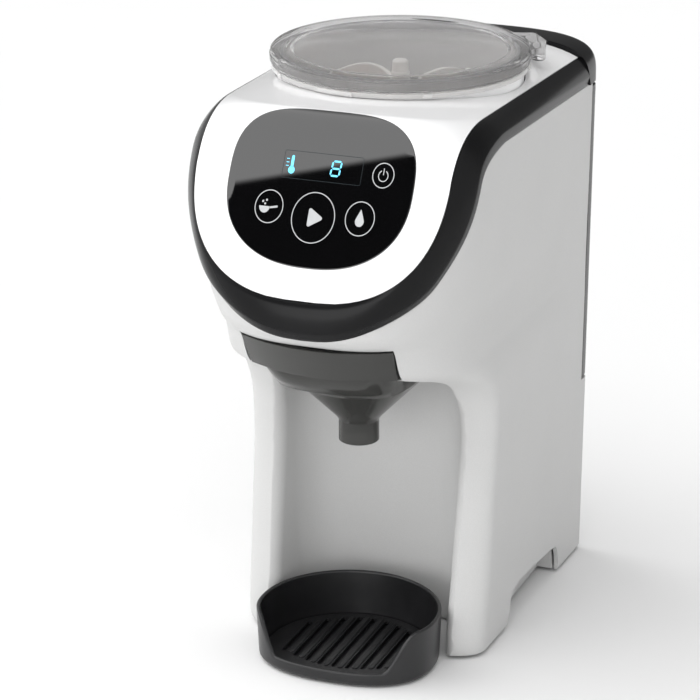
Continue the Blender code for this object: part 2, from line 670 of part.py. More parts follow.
wheel = lathe("powder_wheel", [(0.0, 259.2), (61.3, 259.2), (61.3, 265.5), (10.0, 265.5), (8.5, 268.0), (8.5, 284.0), (0.0, 284.0)],
              0, HOP_Y, "ivory", 32)
for k in range(6):
    a = math.radians(30 + 60 * k)
    combine(wheel, prism("c32", circle(42 * math.cos(a), HOP_Y + 42 * math.sin(a), 8.0, 10), 250.0, 270.0))
combine(wheel, box("c33", -6.8, 6.8, HOP_Y - 2.1, HOP_Y + 2.1, 250.0, 266.5))
set_origin(wheel, (0, HOP_Y, 262.0))

arc = [(HOP_Y * 0 + r * math.cos(math.radians(a)), HOP_Y + r * math.sin(math.radians(a)))
       for r, rng in ((61.0, range(-118, -61, 8)), (30.0, range(-62, -119, -8))) for a in rng]
prism("scraper", arc, 265.9, 268.6, "z", "salmon")


def stirrer_shape():
    """Hub post with three curved vanes."""
    ob = lathe("stirrer", [(0.0, 284.3), (7.0, 284.3), (7.0, 298.0), (4.5, 300.0), (4.5, 313.0), (3.5, 314.5), (0.0, 314.5)], 0, HOP_Y, "ivory", 24)
    for k in range(3):
        a0 = math.radians(120 * k + 20)
        left, right = [], []
        for i in range(9):
            r = 5.0 + 47.0 * i / 8
            a = a0 + 0.75 * (i / 8) ** 1.3
            t = 1.1
            c, s = math.cos(a), math.sin(a)
            left.append((r * c - t * s, HOP_Y + r * s + t * c))
            right.append((r * c + t * s, HOP_Y + r * s - t * c))
        combine(ob, prism("c34", left + right[::-1], 286.0, 296.0), "UNION")
    tidy(ob)
    set_origin(ob, (0, HOP_Y, 300.0))
    return ob


stirrer_shape()

# ------------------------------------------------------------------ drive
MODULE = 2.0
TEETH_BIG, TEETH_SMALL = 24, 12
CENTRE = MODULE * (TEETH_BIG + TEETH_SMALL) / 2
MOTOR_A = math.radians(52.0)
MOTOR_X = CENTRE * math.cos(MOTOR_A)
MOTOR_Y = HOP_Y + CENTRE * math.sin(MOTOR_A)


def gear_outline(teeth, cx, cy, turn, backlash=0.22):
    """Involute spur gear outline with a little backlash."""
    rp = MODULE * teeth / 2
    rb = rp * math.cos(math.radians(20))
    ra = rp + 0.9 * MODULE
    rf = rp - 1.2 * MODULE
    inv = math.tan(math.radians(20)) - math.radians(20)
    half = math.pi / (2 * teeth) - backlash / (2 * rp)
    flank = []
    for k in range(2):
        r = max(rb, rf) + (ra - max(rb, rf)) * k
        al = math.acos(min(1.0, rb / r))
        flank.append((r, half + inv - (math.tan(al) - al)))
    out = []
    for t in range(teeth):
        a = turn + 2 * math.pi * t / teeth
        out.append((rf, a - max(flank[0][1], 0) - 0.01))
        out += [(r, a - h) for r, h in flank]
        out += [(r, a + h) for r, h in reversed(flank)]
        out.append((rf, a + max(flank[0][1], 0) + 0.01))
    return [(cx + r * math.cos(a), cy + r * math.sin(a)) for r, a in out]


gear = prism("drive_gear", gear_outline(TEETH_BIG, 0, HOP_Y, MOTOR_A), 232.0, 237.5, "z", "ivory")
combine(gear, prism("c40", circle(0, HOP_Y, 4.3, 24), 225.0, 245.0))
set_origin(gear, (0, HOP_Y, 234.0))
shaft = lathe("drive_shaft", [(0.0, 226.5), (4.0, 226.5), (4.0, 238.5), (7.5, 238.5), (7.5, 240.5), (4.0, 240.5), (4.0, 256.0), (0.0, 256.0)],
              0, HOP_Y, "steel", 24)
combine(shaft, box("c41", -6.0, 6.0, HOP_Y - 1.5, HOP_Y + 1.5, 253.0, 264.5), "UNION")
set_origin(shaft, (0, HOP_Y, 234.0))
pinion = prism("motor_pinion", gear_outline(TEETH_SMALL, MOTOR_X, MOTOR_Y, MOTOR_A + math.pi + math.pi / TEETH_SMALL), 231.0, 238.5, "z", "brass")
combine(pinion, prism("c42", circle(MOTOR_X, MOTOR_Y, 2.8, 20), 225.0, 245.0))
set_origin(pinion, (MOTOR_X, MOTOR_Y, 234.0))
lathe("wheel_motor", [(0.0, 205.0), (15.0, 205.0), (15.0, 221.4), (5.0, 221.4), (5.0, 229.0), (2.5, 229.0), (2.5, 240.0), (0.0, 240.0)],
      MOTOR_X, MOTOR_Y, "steel", 20)
deck = prism("drive_deck", rounded_rect(-64.0, 64.0, -52.0, 98.0, 14.0, 4), 222.0, 225.0, "z", "grey")
combine(deck, prism("c43", circle(MOTOR_X, MOTOR_Y, 5.4, 24), 215.0, 230.0))
combine(deck, box("c44", -13.0, 13.0, -52.5 + 3.0, -21.0, 215.0, 230.0))
combine(deck, box("c45", 15.0, 38.0, -50.0, -35.0, 215.0, 230.0))
lathe("shaft_bearing", [(4.3, 225.3), (11.0, 225.3), (11.0, 231.0), (4.3, 231.0)], 0, HOP_Y, "brass", 20)


def chute_shape():
    """Sloping powder chute from the hopper outlet to the funnel."""
    def ring(yc, hx, hy, z):
        return [(x, yc + y, z) for x, y in rounded_rect(-hx, hx, -hy, hy, 3.0, 2)]
    outer = [(-23.4, 11.0, 10.0, 255.8), (-26.0, 11.0, 10.0, 244.0), (-36.0, 10.0, 9.0, 222.0), (-42.0, 9.0, 8.5, 206.0), (-43.4, 9.0, 8.5, 199.0)]
    rings = [ring(*o) for o in outer] + [ring(o[0], o[1] - 1.6, o[2] - 1.6, o[3]) for o in reversed(outer)]
    return loft("powder_chute", rings, "ivory", close=True)


chute_shape()

# ------------------------------------------------------------------ funnel
def plan_super(w, y0, y1, p, n=20, bulge=0.0):
    """Rounded plan outline between y0 (front) and y1, with an optional bulged front."""
    yc, d = (y0 + y1) / 2, (y1 - y0) / 2
    out = []
    for k in range(n):
        a = 2 * math.pi * k / n
        c, s = math.cos(a), math.sin(a)
        x = w * math.copysign(abs(c) ** (2 / p), c)
        y = d * math.copysign(abs(s) ** (2 / p), s)
        if s < 0:
            y -= bulge * (1 - (x / w) ** 2)
        out.append((x, yc + y))
    return out


def funnel_shape():
    def ring(w, y0, y1, p, z, t=0.0):
        return [(x, y, z) for x, y in plan_super(w - t, y0 + t, y1 - t, p)]
    sy = SPOUT_Y
    st = [(SPOUT_R, sy - SPOUT_R, sy + SPOUT_R, 2, SPOUT_Z), (SPOUT_R, sy - SPOUT_R, sy + SPOUT_R, 2, 134.5),
          (SPOUT_R + 1.5, sy - 12.5, sy + 12.5, 2, 136.5), (32.5, sy - 33.0, sy + 33.0, 2.1, 157.5),
          (36.0, -88.0, -6.0, 4.0, 163.0), (36.6, -97.0, -5.0, 7.0, 176.0), (36.8, -101.0, -5.0, 7.0, 196.0)]
    inner = [(w - 1.8, y0 + 1.8, y1 - 1.8, p, z + (1.6 if 150 < z < 165 else 0.0)) for w, y0, y1, p, z in st]
    rings = [ring(*s) for s in st] + [ring(*s) for s in reversed(inner)]
    ob = loft("funnel", rings, "smoke", close=True)
    band = []
    for z, yc, bulge, w in ((BAND_Z0, -94.2, 11.0, BAND_W - 1.3), (BAND_Z1, -105.0, 12.0, BAND_W)):
        front = [(x, yc - bulge * (1 - (x / w) ** 2), z) for x in [w * (-1 + 2 * k / 10) for k in range(11)]]
        back = [(x, y + 4.5, z) for x, y, _ in reversed(front)]
        band.append(front + back)
    combine(ob, loft("c50", band), "UNION")
    for s in (-1, 1):
        combine(ob, box("c51", min(s * 35.8, s * 41.4), max(s * 35.8, s * 41.4), -84.0, -8.0, 190.0, 193.0), "UNION")
    return tidy(ob)


funnel_shape()
box("funnel_rail_left", -47.0, -37.4, -83.0, -6.0, 184.0, 189.7, "grey", 0.6, 1)
box("funnel_rail_right", 37.4, 47.0, -83.0, -6.0, 184.0, 189.7, "grey", 0.6, 1)
box("funnel_sensor", -34.0, -30.0 + 2, -18.0, -8.0, 201.3, 207.0, "black_satin", 0.5, 1)

# ------------------------------------------------------------------ drip tray and grate
def tray_outline(t=0.0, n=11):
    """Plan outline: a bowed front and a round back that nests in the bay."""
    w, df, db = TRAY_W - t, TRAY_MID_Y - TRAY_FRONT - t, TRAY_BACK - t
    pts = []
    for k in range(2 * n):
        a = math.pi + math.pi * k / (2 * n)
        c, s = math.cos(a), math.sin(a)
        pts.append((w * math.copysign(abs(c) ** (2 / 2.4), c), TRAY_MID_Y - df * abs(s) ** (2 / 2.4)))
    for k in range(2 * n):
        a = math.pi * k / (2 * n)
        pts.append((w * math.cos(a), TRAY_MID_Y + db * math.sin(a)))
    return pts


def rim_height(x, y):
    """The rim is low at the front and sweeps up at both sides."""
    if y > TRAY_MID_Y:
        return 30.0
    t = min(1.0, max(0.0, (abs(x) - 31.5) / 15.5))
    return 8.2 + 21.8 * t * t * (3 - 2 * t)


def tray_shape():
    o, i = tray_outline(), tray_outline(2.4)
    ob, ib = tray_outline(TRAY_DRAFT), tray_outline(2.4 + TRAY_DRAFT)
    oc = tray_outline(1.6 + TRAY_DRAFT)
    rings = [[(x, y, 0.4) for x, y in oc], [(x, y, 2.4) for x, y in ob], [(x, y, rim_height(*q)) for (x, y), q in zip(o, o)],
             [(x, y, rim_height(*q)) for (x, y), q in zip(i, o)], [(x, y, 2.6) for x, y in ib]]
    return loft("drip_tray", rings, "black_satin")


tray_shape()
grate = prism("drip_grate", tray_outline(4.6), 3.4, 5.6, "z", "black_satin")
for k in range(9):
    x = -32.0 + 8.0 * k
    y0 = -84.0 + 0.010 * x * x
    ln = -18.0 - 0.016 * x * x - y0
    combine(grate, prism("c60", rounded_rect(x - 1.6, x + 1.6, y0, y0 + ln, 1.5, 2), 0.0, 10.0))

# ------------------------------------------------------------------ tank, valve and lid
def tank_ring(z, t=0.0):
    h = rear_half(z) - 0.3
    half = [(71.4 - t, TANK_Y0 + t + 4.0), (71.4 - t, 125.3 + t * 0.4), (h - t, 125.3 + t), (h - t, 127.5), (h - 1.2 - t * 0.7, 130.0 - t * 0.7), (h - 4.0 - t * 0.3, 131.8 - t)]
    if t:
        half = [(71.4 - t, TANK_Y0 + t + 3.0), (71.4 - t, 126.5), (70.6 - t, 128.3), (68.0 - t, 131.8 - t)]
        half = [(69.0, TANK_Y0 + t + 3.0), (69.0, 125.0), (68.2, 127.8), (65.0, 131.8 - t)]
    pts = [(67.4 - t * 0.6, TANK_Y0 + t)] + half
    full = pts + [(-x, y) for x, y in reversed(pts)]
    return [(x, y, z) for x, y in full]


tank = loft("water_tank", [tank_ring(TANK_Z0), tank_ring(200.0), tank_ring(TANK_Z1)], "smoke")
combine(tank, loft("c70", [tank_ring(111.6, 2.4), tank_ring(300.0, 2.4)]))
combine(tank, prism("c71", circle(0, 118.0, 7.0, 24), 100.0, 115.0))
for s in (-1, 1):
    combine(tank, box("c72", s * 40 - 4, s * 40 + 4, 127.0, 131.6, 276.0, 290.6), "UNION")
combine(tank, prism("c73", [(128.9 + 1.35 * math.cos(2 * math.pi * k / 12), 287.6 + 1.35 * math.sin(2 * math.pi * k / 12)) for k in range(12)], -60.0, 60.0, "x"))
tidy(tank)
lathe("tank_valve", [(4.0, 103.0), (6.7, 103.0), (6.7, 111.9), (9.5, 111.9), (9.5, 114.0), (4.0, 114.0)], 0, 118.0, "ivory", 18)
plunger = lathe("valve_plunger", [(0.0, 101.0), (2.5, 101.0), (2.5, 114.3), (6.5, 114.3), (6.5, 116.0), (2.0, 116.0), (2.0, 119.0), (0.0, 119.0)], 0, 118.0, "rubber", 18)
set_origin(plunger, (0, 118.0, 110.0))


def spring_shape():
    """Valve return spring, a steel wire helix with flat-cut ends."""
    turns, n, r, wr, z0, z1 = 4.5, 45, 4.6, 0.45, 116.8, 126.8
    rings = []
    for k in range(n + 1):
        t = k / n
        a = 2 * math.pi * turns * t
        c = Vector((r * math.cos(a), 118.0 + r * math.sin(a), z0 + (z1 - z0) * t))
        rad = Vector((math.cos(a), math.sin(a), 0))
        rings.append([tuple(c + rad * wr * math.cos(b) + Vector((0, 0, wr * math.sin(b)))) for b in [2 * math.pi * j / 4 for j in range(4)]])
    return loft("valve_spring", rings, "steel")


spring_shape()
cage = lathe("valve_cage", [(0.0, 127.6), (7.2, 127.6), (7.2, 114.4), (9.5, 114.4), (9.5, 129.6), (0.0, 129.6)], 0, 118.0, "ivory", 18)
combine(cage, box("c74", -3.5, 3.5, 100.0, 130.0, 116.5, 125.5))
combine(cage, box("c75", -12.0, 12.0, 114.5, 121.5, 116.5, 125.5))
lathe("tank_socket", [(0.0, 86.0), (3.0, 86.0), (3.0, 92.0), (10.6, 92.0), (10.6, 105.1), (8.3, 105.1), (8.3, 94.5), (1.5, 94.5), (1.5, 100.5), (0.0, 100.5)],
      0, 118.0, "grey", 18)


def lid_ring(y, e, t=0.0, z0=285.6):
    """Cross-section of the tank lid: a flat-topped dome."""
    a = 77.0 - 0.6 * max(0.0, (y - 105.0) / 28.0) - e - t
    h = 311.2 - 285.6 - e * 0.8 - t
    pts = []
    for k in range(15):
        ang = math.pi * k / 14
        c, s = math.cos(ang), math.sin(ang)
        pts.append((a * math.copysign(abs(c) ** (2 / 4.2), c), y, z0 + (285.6 - z0) + h * abs(s) ** (2 / 4.2) if k not in (0, 14) else z0))
    return pts


lid_out = loft("tank_lid", [lid_ring(104.6, 0.0), lid_ring(120.0, 0.2), lid_ring(126.0, 1.4), lid_ring(129.6, 3.6), lid_ring(131.8, 7.0), lid_ring(132.8, 11.0)], "black_gloss")
combine(lid_out, loft("c80", [lid_ring(107.0, 0.0, 2.4, 270.0), lid_ring(120.0, 0.2, 2.4, 270.0), lid_ring(125.6, 1.4, 2.4, 270.0), lid_ring(128.4, 4.0, 2.4, 270.0)]))
combine(lid_out, prism("c81", [(104.0, 304.0), (104.0, 280.0), (113.2, 280.0), (112.6, 285.8), (105.3, 303.0)], 66.0, 90.0, "x"))
combine(lid_out, prism("c82", [(104.0, 304.0), (104.0, 280.0), (113.2, 280.0), (112.6, 285.8), (105.3, 303.0)], -90.0, -66.0, "x"))
for s in (-1, 1):
    combine(lid_out, box("c83", s * 40 - 4.4, s * 40 + 4.4, 120.0, 140.0, 280.0, 292.4))
for s in (-1, 1):
    combine(lid_out, box("c84", s * 47 - 2.2, s * 47 + 2.2, 126.6, 131.2, 285.6, 296.0), "UNION")
combine(lid_out, prism("c85", [(128.9 + 1.35 * math.cos(2 * math.pi * k / 12), 287.6 + 1.35 * math.sin(2 * math.pi * k / 12)) for k in range(12)], -49.5, 49.5, "x"))
tidy(lid_out)
set_origin(lid_out, (0, 128.9, 287.6))
for s, nm in ((-1, "left"), (1, "right")):
    prism("lid_pin_" + nm, [(128.9 + 1.0 * math.cos(2 * math.pi * k / 12), 287.6 + 1.0 * math.sin(2 * math.pi * k / 12)) for k in range(12)],
          min(s * 35.0, s * 49.0), max(s * 35.0, s * 49.0), "x", "steel")

# ------------------------------------------------------------------ works in the column
lathe("water_pump", [(0.0, 14.0), (17.0, 14.0), (17.0, 44.0), (10.0, 44.0), (10.0, 48.0), (3.0, 48.0), (3.0, 54.0), (0.0, 54.0)], -34.0, 62.0, "grey", 20)
box("heater_block", 18.0, 54.0, 36.0, 72.0, 30.0, 126.0, "steel", 4.0, 2)
tube("hose_tank_pump", [(0, 118, 85.4), (0, 118, 76), (-6, 104, 64), (-26, 72, 66), (-34, 62, 64), (-34, 62, 54.8)], 2.9, "silicone")
tube("hose_pump_heater", [(-34, 44.3, 26), (-34, 38, 26), (-26, 28, 22), (0, 24, 18), (26, 32, 16), (35, 46, 16), (36, 54, 20), (36, 54, 25), (36, 54, 29.4)], 3.0, "silicone")
tube("hose_heater_nozzle", [(36, 54, 126.4), (36, 54, 140), (40, 40, 160), (56, 20, 185), (58, -10, 205), (44, -34, 214), (22, -43, 224), (21, -43, 216.5)][:7] + [(21, -43, 214.6)], 2.6, "silicone")
lathe("water_nozzle", [(1.6, 196.5), (3.2, 196.5), (4.2, 203.0), (4.2, 214.2), (1.6, 214.2)], 21.0, -43.0, "ivory", 20)
box("power_board", -60.0, -12.0, 16.0, 18.0, 70.0, 150.0, "pcb", 0.4, 1)
inlet = box("power_inlet", 26.4, 53.6, 110.0, 131.0, 24.4, 43.6, "black_satin", 0.8, 1)
combine(inlet, box("c90", 30.0, 50.0, 116.0, 140.0, 28.0, 40.0))


def base_outline(t):
    ring = [(x, y) for x, y, _ in body_ring(4.0, WALL + t + 0.4, 8)]
    return ring


base = prism("base_plate", base_outline(GAP), 2.0, 4.4, "z", "grey")
combine(base, loft("c91", [[(x, y, z) for x, y, _ in bay_rings(WALL + GAP + 0.1)[0]] for z in (-2.0, 9.0)]))
combine(base, box("c92", -120.0, -56.6, 1.6, 93.8, -5.0, 10.0))
combine(base, box("c93", 56.6, 120.0, 1.6, 93.8, -5.0, 10.0))
combine(base, box("c94", -120.0, 120.0, 123.4, 160.0, -5.0, 10.0))
for i, (sx, sy) in enumerate(((-26.0, 24.0), (26.0, 24.0), (-26.0, 104.0), (26.0, 104.0))):
    combine(base, prism("c95", circle(sx, sy, 1.8, 16), -5.0, 10.0))
    lathe("base_screw_%d" % (i + 1), [(0.0, 0.8), (3.2, 0.8), (3.2, 1.7), (1.4, 1.7), (1.4, 12.0), (0.0, 12.0)], sx, sy, "steel", 10)
for nm, fx, fy in (("front_left", -59.5, -28.0), ("front_right", 59.5, -28.0), ("rear_left", -56.0, 104.0), ("rear_right", 56.0, 104.0)):
    lathe("foot_" + nm, [(0.0, 0.0), (4.6, 0.0), (5.2, 0.5), (5.2, 1.2), (0.0, 1.2)], fx, fy, "rubber", 14)
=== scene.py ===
"""Looks of the countertop formula dispenser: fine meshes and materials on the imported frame.

Shapes are written in millimetres in the drawing frame of the design; P() turns them into
metres of the row frame.  Every piece rides on the body that its CAD node belongs to.
"""
import bpy
import bmesh
import json
import math
from mathutils import Matrix, Vector


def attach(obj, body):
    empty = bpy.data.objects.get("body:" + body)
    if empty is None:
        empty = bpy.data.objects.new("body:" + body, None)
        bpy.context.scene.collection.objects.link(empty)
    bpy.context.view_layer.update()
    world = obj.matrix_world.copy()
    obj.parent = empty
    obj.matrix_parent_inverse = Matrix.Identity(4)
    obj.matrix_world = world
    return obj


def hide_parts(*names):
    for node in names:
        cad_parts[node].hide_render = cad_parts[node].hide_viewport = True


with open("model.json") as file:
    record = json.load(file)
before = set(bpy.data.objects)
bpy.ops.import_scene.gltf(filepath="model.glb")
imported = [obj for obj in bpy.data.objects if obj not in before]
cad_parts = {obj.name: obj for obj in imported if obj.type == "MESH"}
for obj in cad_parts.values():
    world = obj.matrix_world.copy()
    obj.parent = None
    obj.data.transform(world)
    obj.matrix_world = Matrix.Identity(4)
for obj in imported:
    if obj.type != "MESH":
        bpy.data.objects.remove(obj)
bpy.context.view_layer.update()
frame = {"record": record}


# ------------------------------------------------------------------ dimensions (mm)
MM = 0.001
Y_SHIFT = 2.14
FACE_Y, FACE_Z, FACE_LEAN = -118.0, 243.0, 28.0
FACE_BOTTOM_Z, FACE_HALF_W, FACE_MID_Z, FACE_POWER = 226.4, 69.0, 290.0, 2.5
FASCIA_REAR_Y, FASCIA_T = 104.2, 2.4
HOP_Y, HOP_R, LID_R, LID_TOP, RING_Z, COLLAR_R = 18.6, 64.0, 69.8, 323.6, 313.2, 66.5
BAY_W, BAY_BACK, BAY_TOP = 50.5, 8.0, 175.0
BAY_FOOT_W, BAY_MID_Y, BAY_POWER = 48.6, -38.5, 3.4
SPOUT_Y, SPOUT_Z, SPOUT_R = -43.4, 122.0, 10.9
BAND_W, BAND_Z0, BAND_Z1 = 41.8, 178.0, 197.0
REAR_Y, TANK_Y0, TANK_Z0, TANK_Z1, SHELF_Z = 132.0, 105.5, 109.0, 283.0, 108.0
TRAY_W, TRAY_BACK, TRAY_MID_Y, TRAY_FRONT, TRAY_DRAFT = 50.5, 50.0, -59.0, -96.5, 1.2
TAN_LEAN = math.tan(math.radians(FACE_LEAN))
FN = Vector((0, -math.cos(math.radians(FACE_LEAN)), math.sin(math.radians(FACE_LEAN))))

BODY = [
    (1.5, -46.0, 22.0, 3.3, 68.5), (8.0, -48.0, 23.0, 3.3, 69.5), (40.0, -42.5, 21.0, 3.4, 70.1),
    (80.0, -35.8, 18.0, 3.5, 70.5), (118.0, -30.6, 16.0, 3.6, 71.0), (135.0, -31.5, 17.0, 3.5, 71.7),
    (150.0, -39.3, 21.0, 3.3, 72.5), (160.0, -51.5, 28.0, 3.1, 72.8), (168.0, -71.0, 44.0, 2.8, 71.6),
    (174.0, -90.5, 62.0, 2.65, 70.2), (178.0, -100.0, 71.0, 2.65, 69.3), (185.0, -106.5, 80.0, 2.65, 69.3),
    (197.0, -113.5, 92.0, 2.7, 70.0), (205.4, -126.0, 103.0, 2.55, 70.9), (215.0, -128.0, 99.0, 2.55, 73.4),
    (230.0, -129.0, 91.0, 2.6, 75.6), (245.0, -129.0, 78.0, 2.6, 77.0), (260.0, -128.0, 64.0, 2.6, 77.9),
    (280.0, -127.0, 52.0, 2.6, 78.5), (300.0, -127.0, 50.0, 2.6, 79.0)]


def P(x, y, z):
    return Vector((x * MM, (y - Y_SHIFT) * MM, z * MM))


# ------------------------------------------------------------------ shape functions
def body_at(z):
    t = BODY
    if z <= t[0][0]:
        return t[0][1:]
    if z >= t[-1][0]:
        return t[-1][1:]
    i = max(k for k in range(len(t)) if t[k][0] <= z)
    a, b = t[i], t[i + 1]
    h = b[0] - a[0]
    u = (z - a[0]) / h
    out = []
    for c in range(1, 5):
        sec = (b[c] - a[c]) / h
        sa = sec if i == 0 else (a[c] - t[i - 1][c]) / (a[0] - t[i - 1][0])
        sb = sec if i + 2 >= len(t) else (t[i + 2][c] - b[c]) / (t[i + 2][0] - b[0])
        m0 = 0.0 if sa * sec <= 0 else 2 * sa * sec / (sa + sec)
        m1 = 0.0 if sb * sec <= 0 else 2 * sb * sec / (sb + sec)
        out.append((2 * u**3 - 3 * u**2 + 1) * a[c] + (u**3 - 2 * u**2 + u) * h * m0
                   + (-2 * u**3 + 3 * u**2) * b[c] + (u**3 - u**2) * h * m1)
    return tuple(out)


def rear_half(z):
    return 73.2 + 3.2 * z / 270.0


def half_width(y, z):
    yf, d, p, hw = body_at(z)
    if y <= yf:
        return 0.0
    if y < yf + d:
        t = (yf + d - y) / d
        return hw * (1 - t**p) ** (1 / p)
    ys = yf + d
    return hw + (rear_half(z) - hw) * (y - ys) / (REAR_Y - 5.0 - ys)


def front_y(x, z):
    """Depth of the housing's front surface at a place seen from the front."""
    yf, d, p, hw = body_at(z)
    t = min(abs(x) / hw, 0.999)
    return yf + d - d * (1 - t**p) ** (1 / p)


def body_ring(z, inset=0.0, n=8, rear=REAR_Y, r=5.0, ns=3, nc=2):
    yf, d, p, hw = body_at(z)
    pts = []
    for k in range(n + 1):
        a = math.pi / 2 * (1 - k / n)
        c, s = math.cos(a), math.sin(a)
        pts.append([hw * abs(c) ** (2 / p), yf + d - d * abs(s) ** (2 / p)])
    ys = yf + d
    rh = rear_half(z)
    ye = rear - r
    for k in range(1, ns + 1):
        t = k / ns
        y = ys + (ye - ys) * t
        pts.append([hw + (rh - hw) * (y - ys) / (REAR_Y - 5.0 - ys), y])
    for k in range(1, nc + 1):
        a = math.pi / 2 * k / nc
        pts.append([pts[n + ns][0] - r + r * math.cos(a), ye + r * math.sin(a)])
    pts.append([0.0, rear])
    if inset:
        out = []
        for i, q in enumerate(pts):
            if i == 0:
                out.append([0.0, q[1] + inset])
                continue
            if i == len(pts) - 1:
                out.append([0.0, q[1] - inset])
                continue
            a, b = pts[i - 1], pts[i + 1]
            tx, ty = b[0] - a[0], b[1] - a[1]
            m = math.hypot(tx, ty)
            out.append([max(q[0] - inset * ty / m, 0.5), q[1] + inset * tx / m])
        pts = out
    full = pts + [[-x, y] for x, y in reversed(pts[1:-1])]
    return [(x, y, z) for x, y in full]


def face_y(z):
    return FACE_Y + TAN_LEAN * (z - FACE_Z)


def face_half(z):
    t = min(1.0, max(0.0, (FACE_MID_Z - z) / (FACE_MID_Z - FACE_BOTTOM_Z)))
    return FACE_HALF_W * max(0.0, 1 - t**FACE_POWER) ** (1 / FACE_POWER)


def arc_between(p0, corner, p1, n):
    out = []
    for k in range(n + 1):
        t = k / n
        out.append(tuple((1 - t) ** 2 * p0[i] + 2 * t * (1 - t) * corner[i] + t * t * p1[i] for i in range(2)))
    return out


def fascia_profiles(n_face=8, n_roll=5, n_top=4, rear=FASCIA_REAR_Y):
    def build(z_tan, y_tan, top_z, slope, z0):
        zc = (top_z - slope * (FACE_Y - TAN_LEAN * FACE_Z - y_tan)) / (1 + slope * TAN_LEAN)
        corner = (face_y(zc), zc)
        face = []
        for k in range(n_face + 1):
            t = k / n_face
            z = z0 + (z_tan - z0) * t ** 1.25
            face.append((face_y(z), z))
        p1 = (y_tan, top_z)
        roll = arc_between(face[-1], corner, p1, n_roll)[1:]
        top = [(y_tan + (rear - y_tan) * k / n_top, top_z - slope * (rear - y_tan) * k / n_top)
               for k in range(1, n_top + 1)]
        return face + roll + top
    return (build(284.0, -48.0, 308.3, 0.034, FACE_BOTTOM_Z + 0.15),
            build(308.5, -76.0, 313.0, 0.012, FACE_BOTTOM_Z + 0.15))


def cut_profile(n=10, nr=5, nt=5):
    def off(z):
        t = min(1.0, max(0.0, (z - 207.0) / 28.0))
        return 12.0 + 10.0 * t * t * (3 - 2 * t)
    pts = []
    for k in range(n + 1):
        z = 205.4 + (284.0 - 205.4) * (k / n) ** 1.3
        pts.append((face_y(z) + off(z), z))
    p1 = (-38.0, 294.0)
    roll = arc_between(pts[-1], (-67.0, 292.6), p1, nr)[1:]
    top = [(p1[0] + (111.5 - p1[0]) * k / nt, p1[1] - 0.056 * (111.5 - p1[0]) * k / nt) for k in range(1, nt + 1)]
    return pts + roll + top


def circle(cx, cy, r, n=32, start=0.0):
    return [(cx + r * math.cos(start + 2 * math.pi * k / n), cy + r * math.sin(start + 2 * math.pi * k / n))
            for k in range(n)]


def rounded_rect(x0, x1, y0, y1, r, n=5):
    out = []
    for cx, cy, a0 in ((x1 - r, y1 - r, 0), (x0 + r, y1 - r, 90), (x0 + r, y0 + r, 180), (x1 - r, y0 + r, 270)):
        for k in range(n + 1):
            a = math.radians(a0 + 90 * k / n)
            out.append((cx + r * math.cos(a), cy + r * math.sin(a)))
    return out


def round_poly(pts, r, seg=4):
    """Round the corners of a closed outline; r is one radius or one for each corner."""
    n = len(pts)
    out = []
    for i in range(n):
        a, b, c = Vector(pts[i - 1]), Vector(pts[i]), Vector(pts[(i + 1) % n])
        rr = r[i] if isinstance(r, (list, tuple)) else r
        u, v = a - b, c - b
        lu, lv = u.length, v.length
        if rr <= 0 or lu < 1e-6 or lv < 1e-6:
            out.append(tuple(b))
            continue
        u, v = u / lu, v / lv
        ang = math.acos(max(-1.0, min(1.0, u.dot(v))))
        if ang > math.pi - 0.05:
            out.append(tuple(b))
            continue
        d = min(rr / math.tan(ang / 2), 0.48 * lu, 0.48 * lv)
        p, q = b + u * d, b + v * d
        for k in range(seg + 1):
            t = k / seg
            w = (1 - t) ** 2 + t * t + 2 * t * (1 - t) * math.sin(ang / 2)
            out.append(tuple((p * (1 - t) ** 2 + b * (2 * t * (1 - t) * math.sin(ang / 2)) + q * t * t) / w))
    return out


# ------------------------------------------------------------------ mesh helpers
COLL = bpy.context.scene.collection


def finish(name, bm, angle=35.0, weld=1e-7):
    bmesh.ops.remove_doubles(bm, verts=bm.verts, dist=weld)
    bmesh.ops.recalc_face_normals(bm, faces=bm.faces)
    me = bpy.data.meshes.new(name)
    bm.to_mesh(me)
    bm.free()
    ob = bpy.data.objects.new(name, me)
    COLL.objects.link(ob)
    me.shade_smooth()
    me.set_sharp_from_angle(angle=math.radians(angle))
    return ob


def loft(name, rings, close=False, tri=False, caps=True, angle=35.0):
    bm = bmesh.new()
    vs = [[bm.verts.new(P(*q)) for q in r] for r in rings]
    n = len(rings[0])
    m = len(rings)
    for i in range(m if close else m - 1):
        a, b = vs[i], vs[(i + 1) % m]
        for j in range(n):
            bm.faces.new((a[j], a[(j + 1) % n], b[(j + 1) % n], b[j]))
    if not close and caps:
        bm.faces.new(list(reversed(vs[0])))
        bm.faces.new(vs[-1])
    if tri:
        bmesh.ops.triangulate(bm, faces=[f for f in bm.faces if len(f.verts) == 4])
    return finish(name, bm, angle)


def prism(name, outline, lo, hi, axis="z", bevel=0.0, seg=3, angle=35.0):
    bm = bmesh.new()

    def at(q, h):
        if axis == "z":
            return P(q[0], q[1], h)
        if axis == "x":
            return P(h, q[0], q[1])
        return P(q[0], h, q[1])
    base = bm.faces.new([bm.verts.new(at(q, lo)) for q in outline])
    r = bmesh.ops.extrude_face_region(bm, geom=[base])
    new = [g for g in r["geom"] if isinstance(g, bmesh.types.BMVert)]
    bmesh.ops.translate(bm, vec=at(outline[0], hi) - at(outline[0], lo), verts=new)
    ob = finish(name, bm, angle)
    if bevel:
        round_edges(ob, bevel, seg)
    return ob


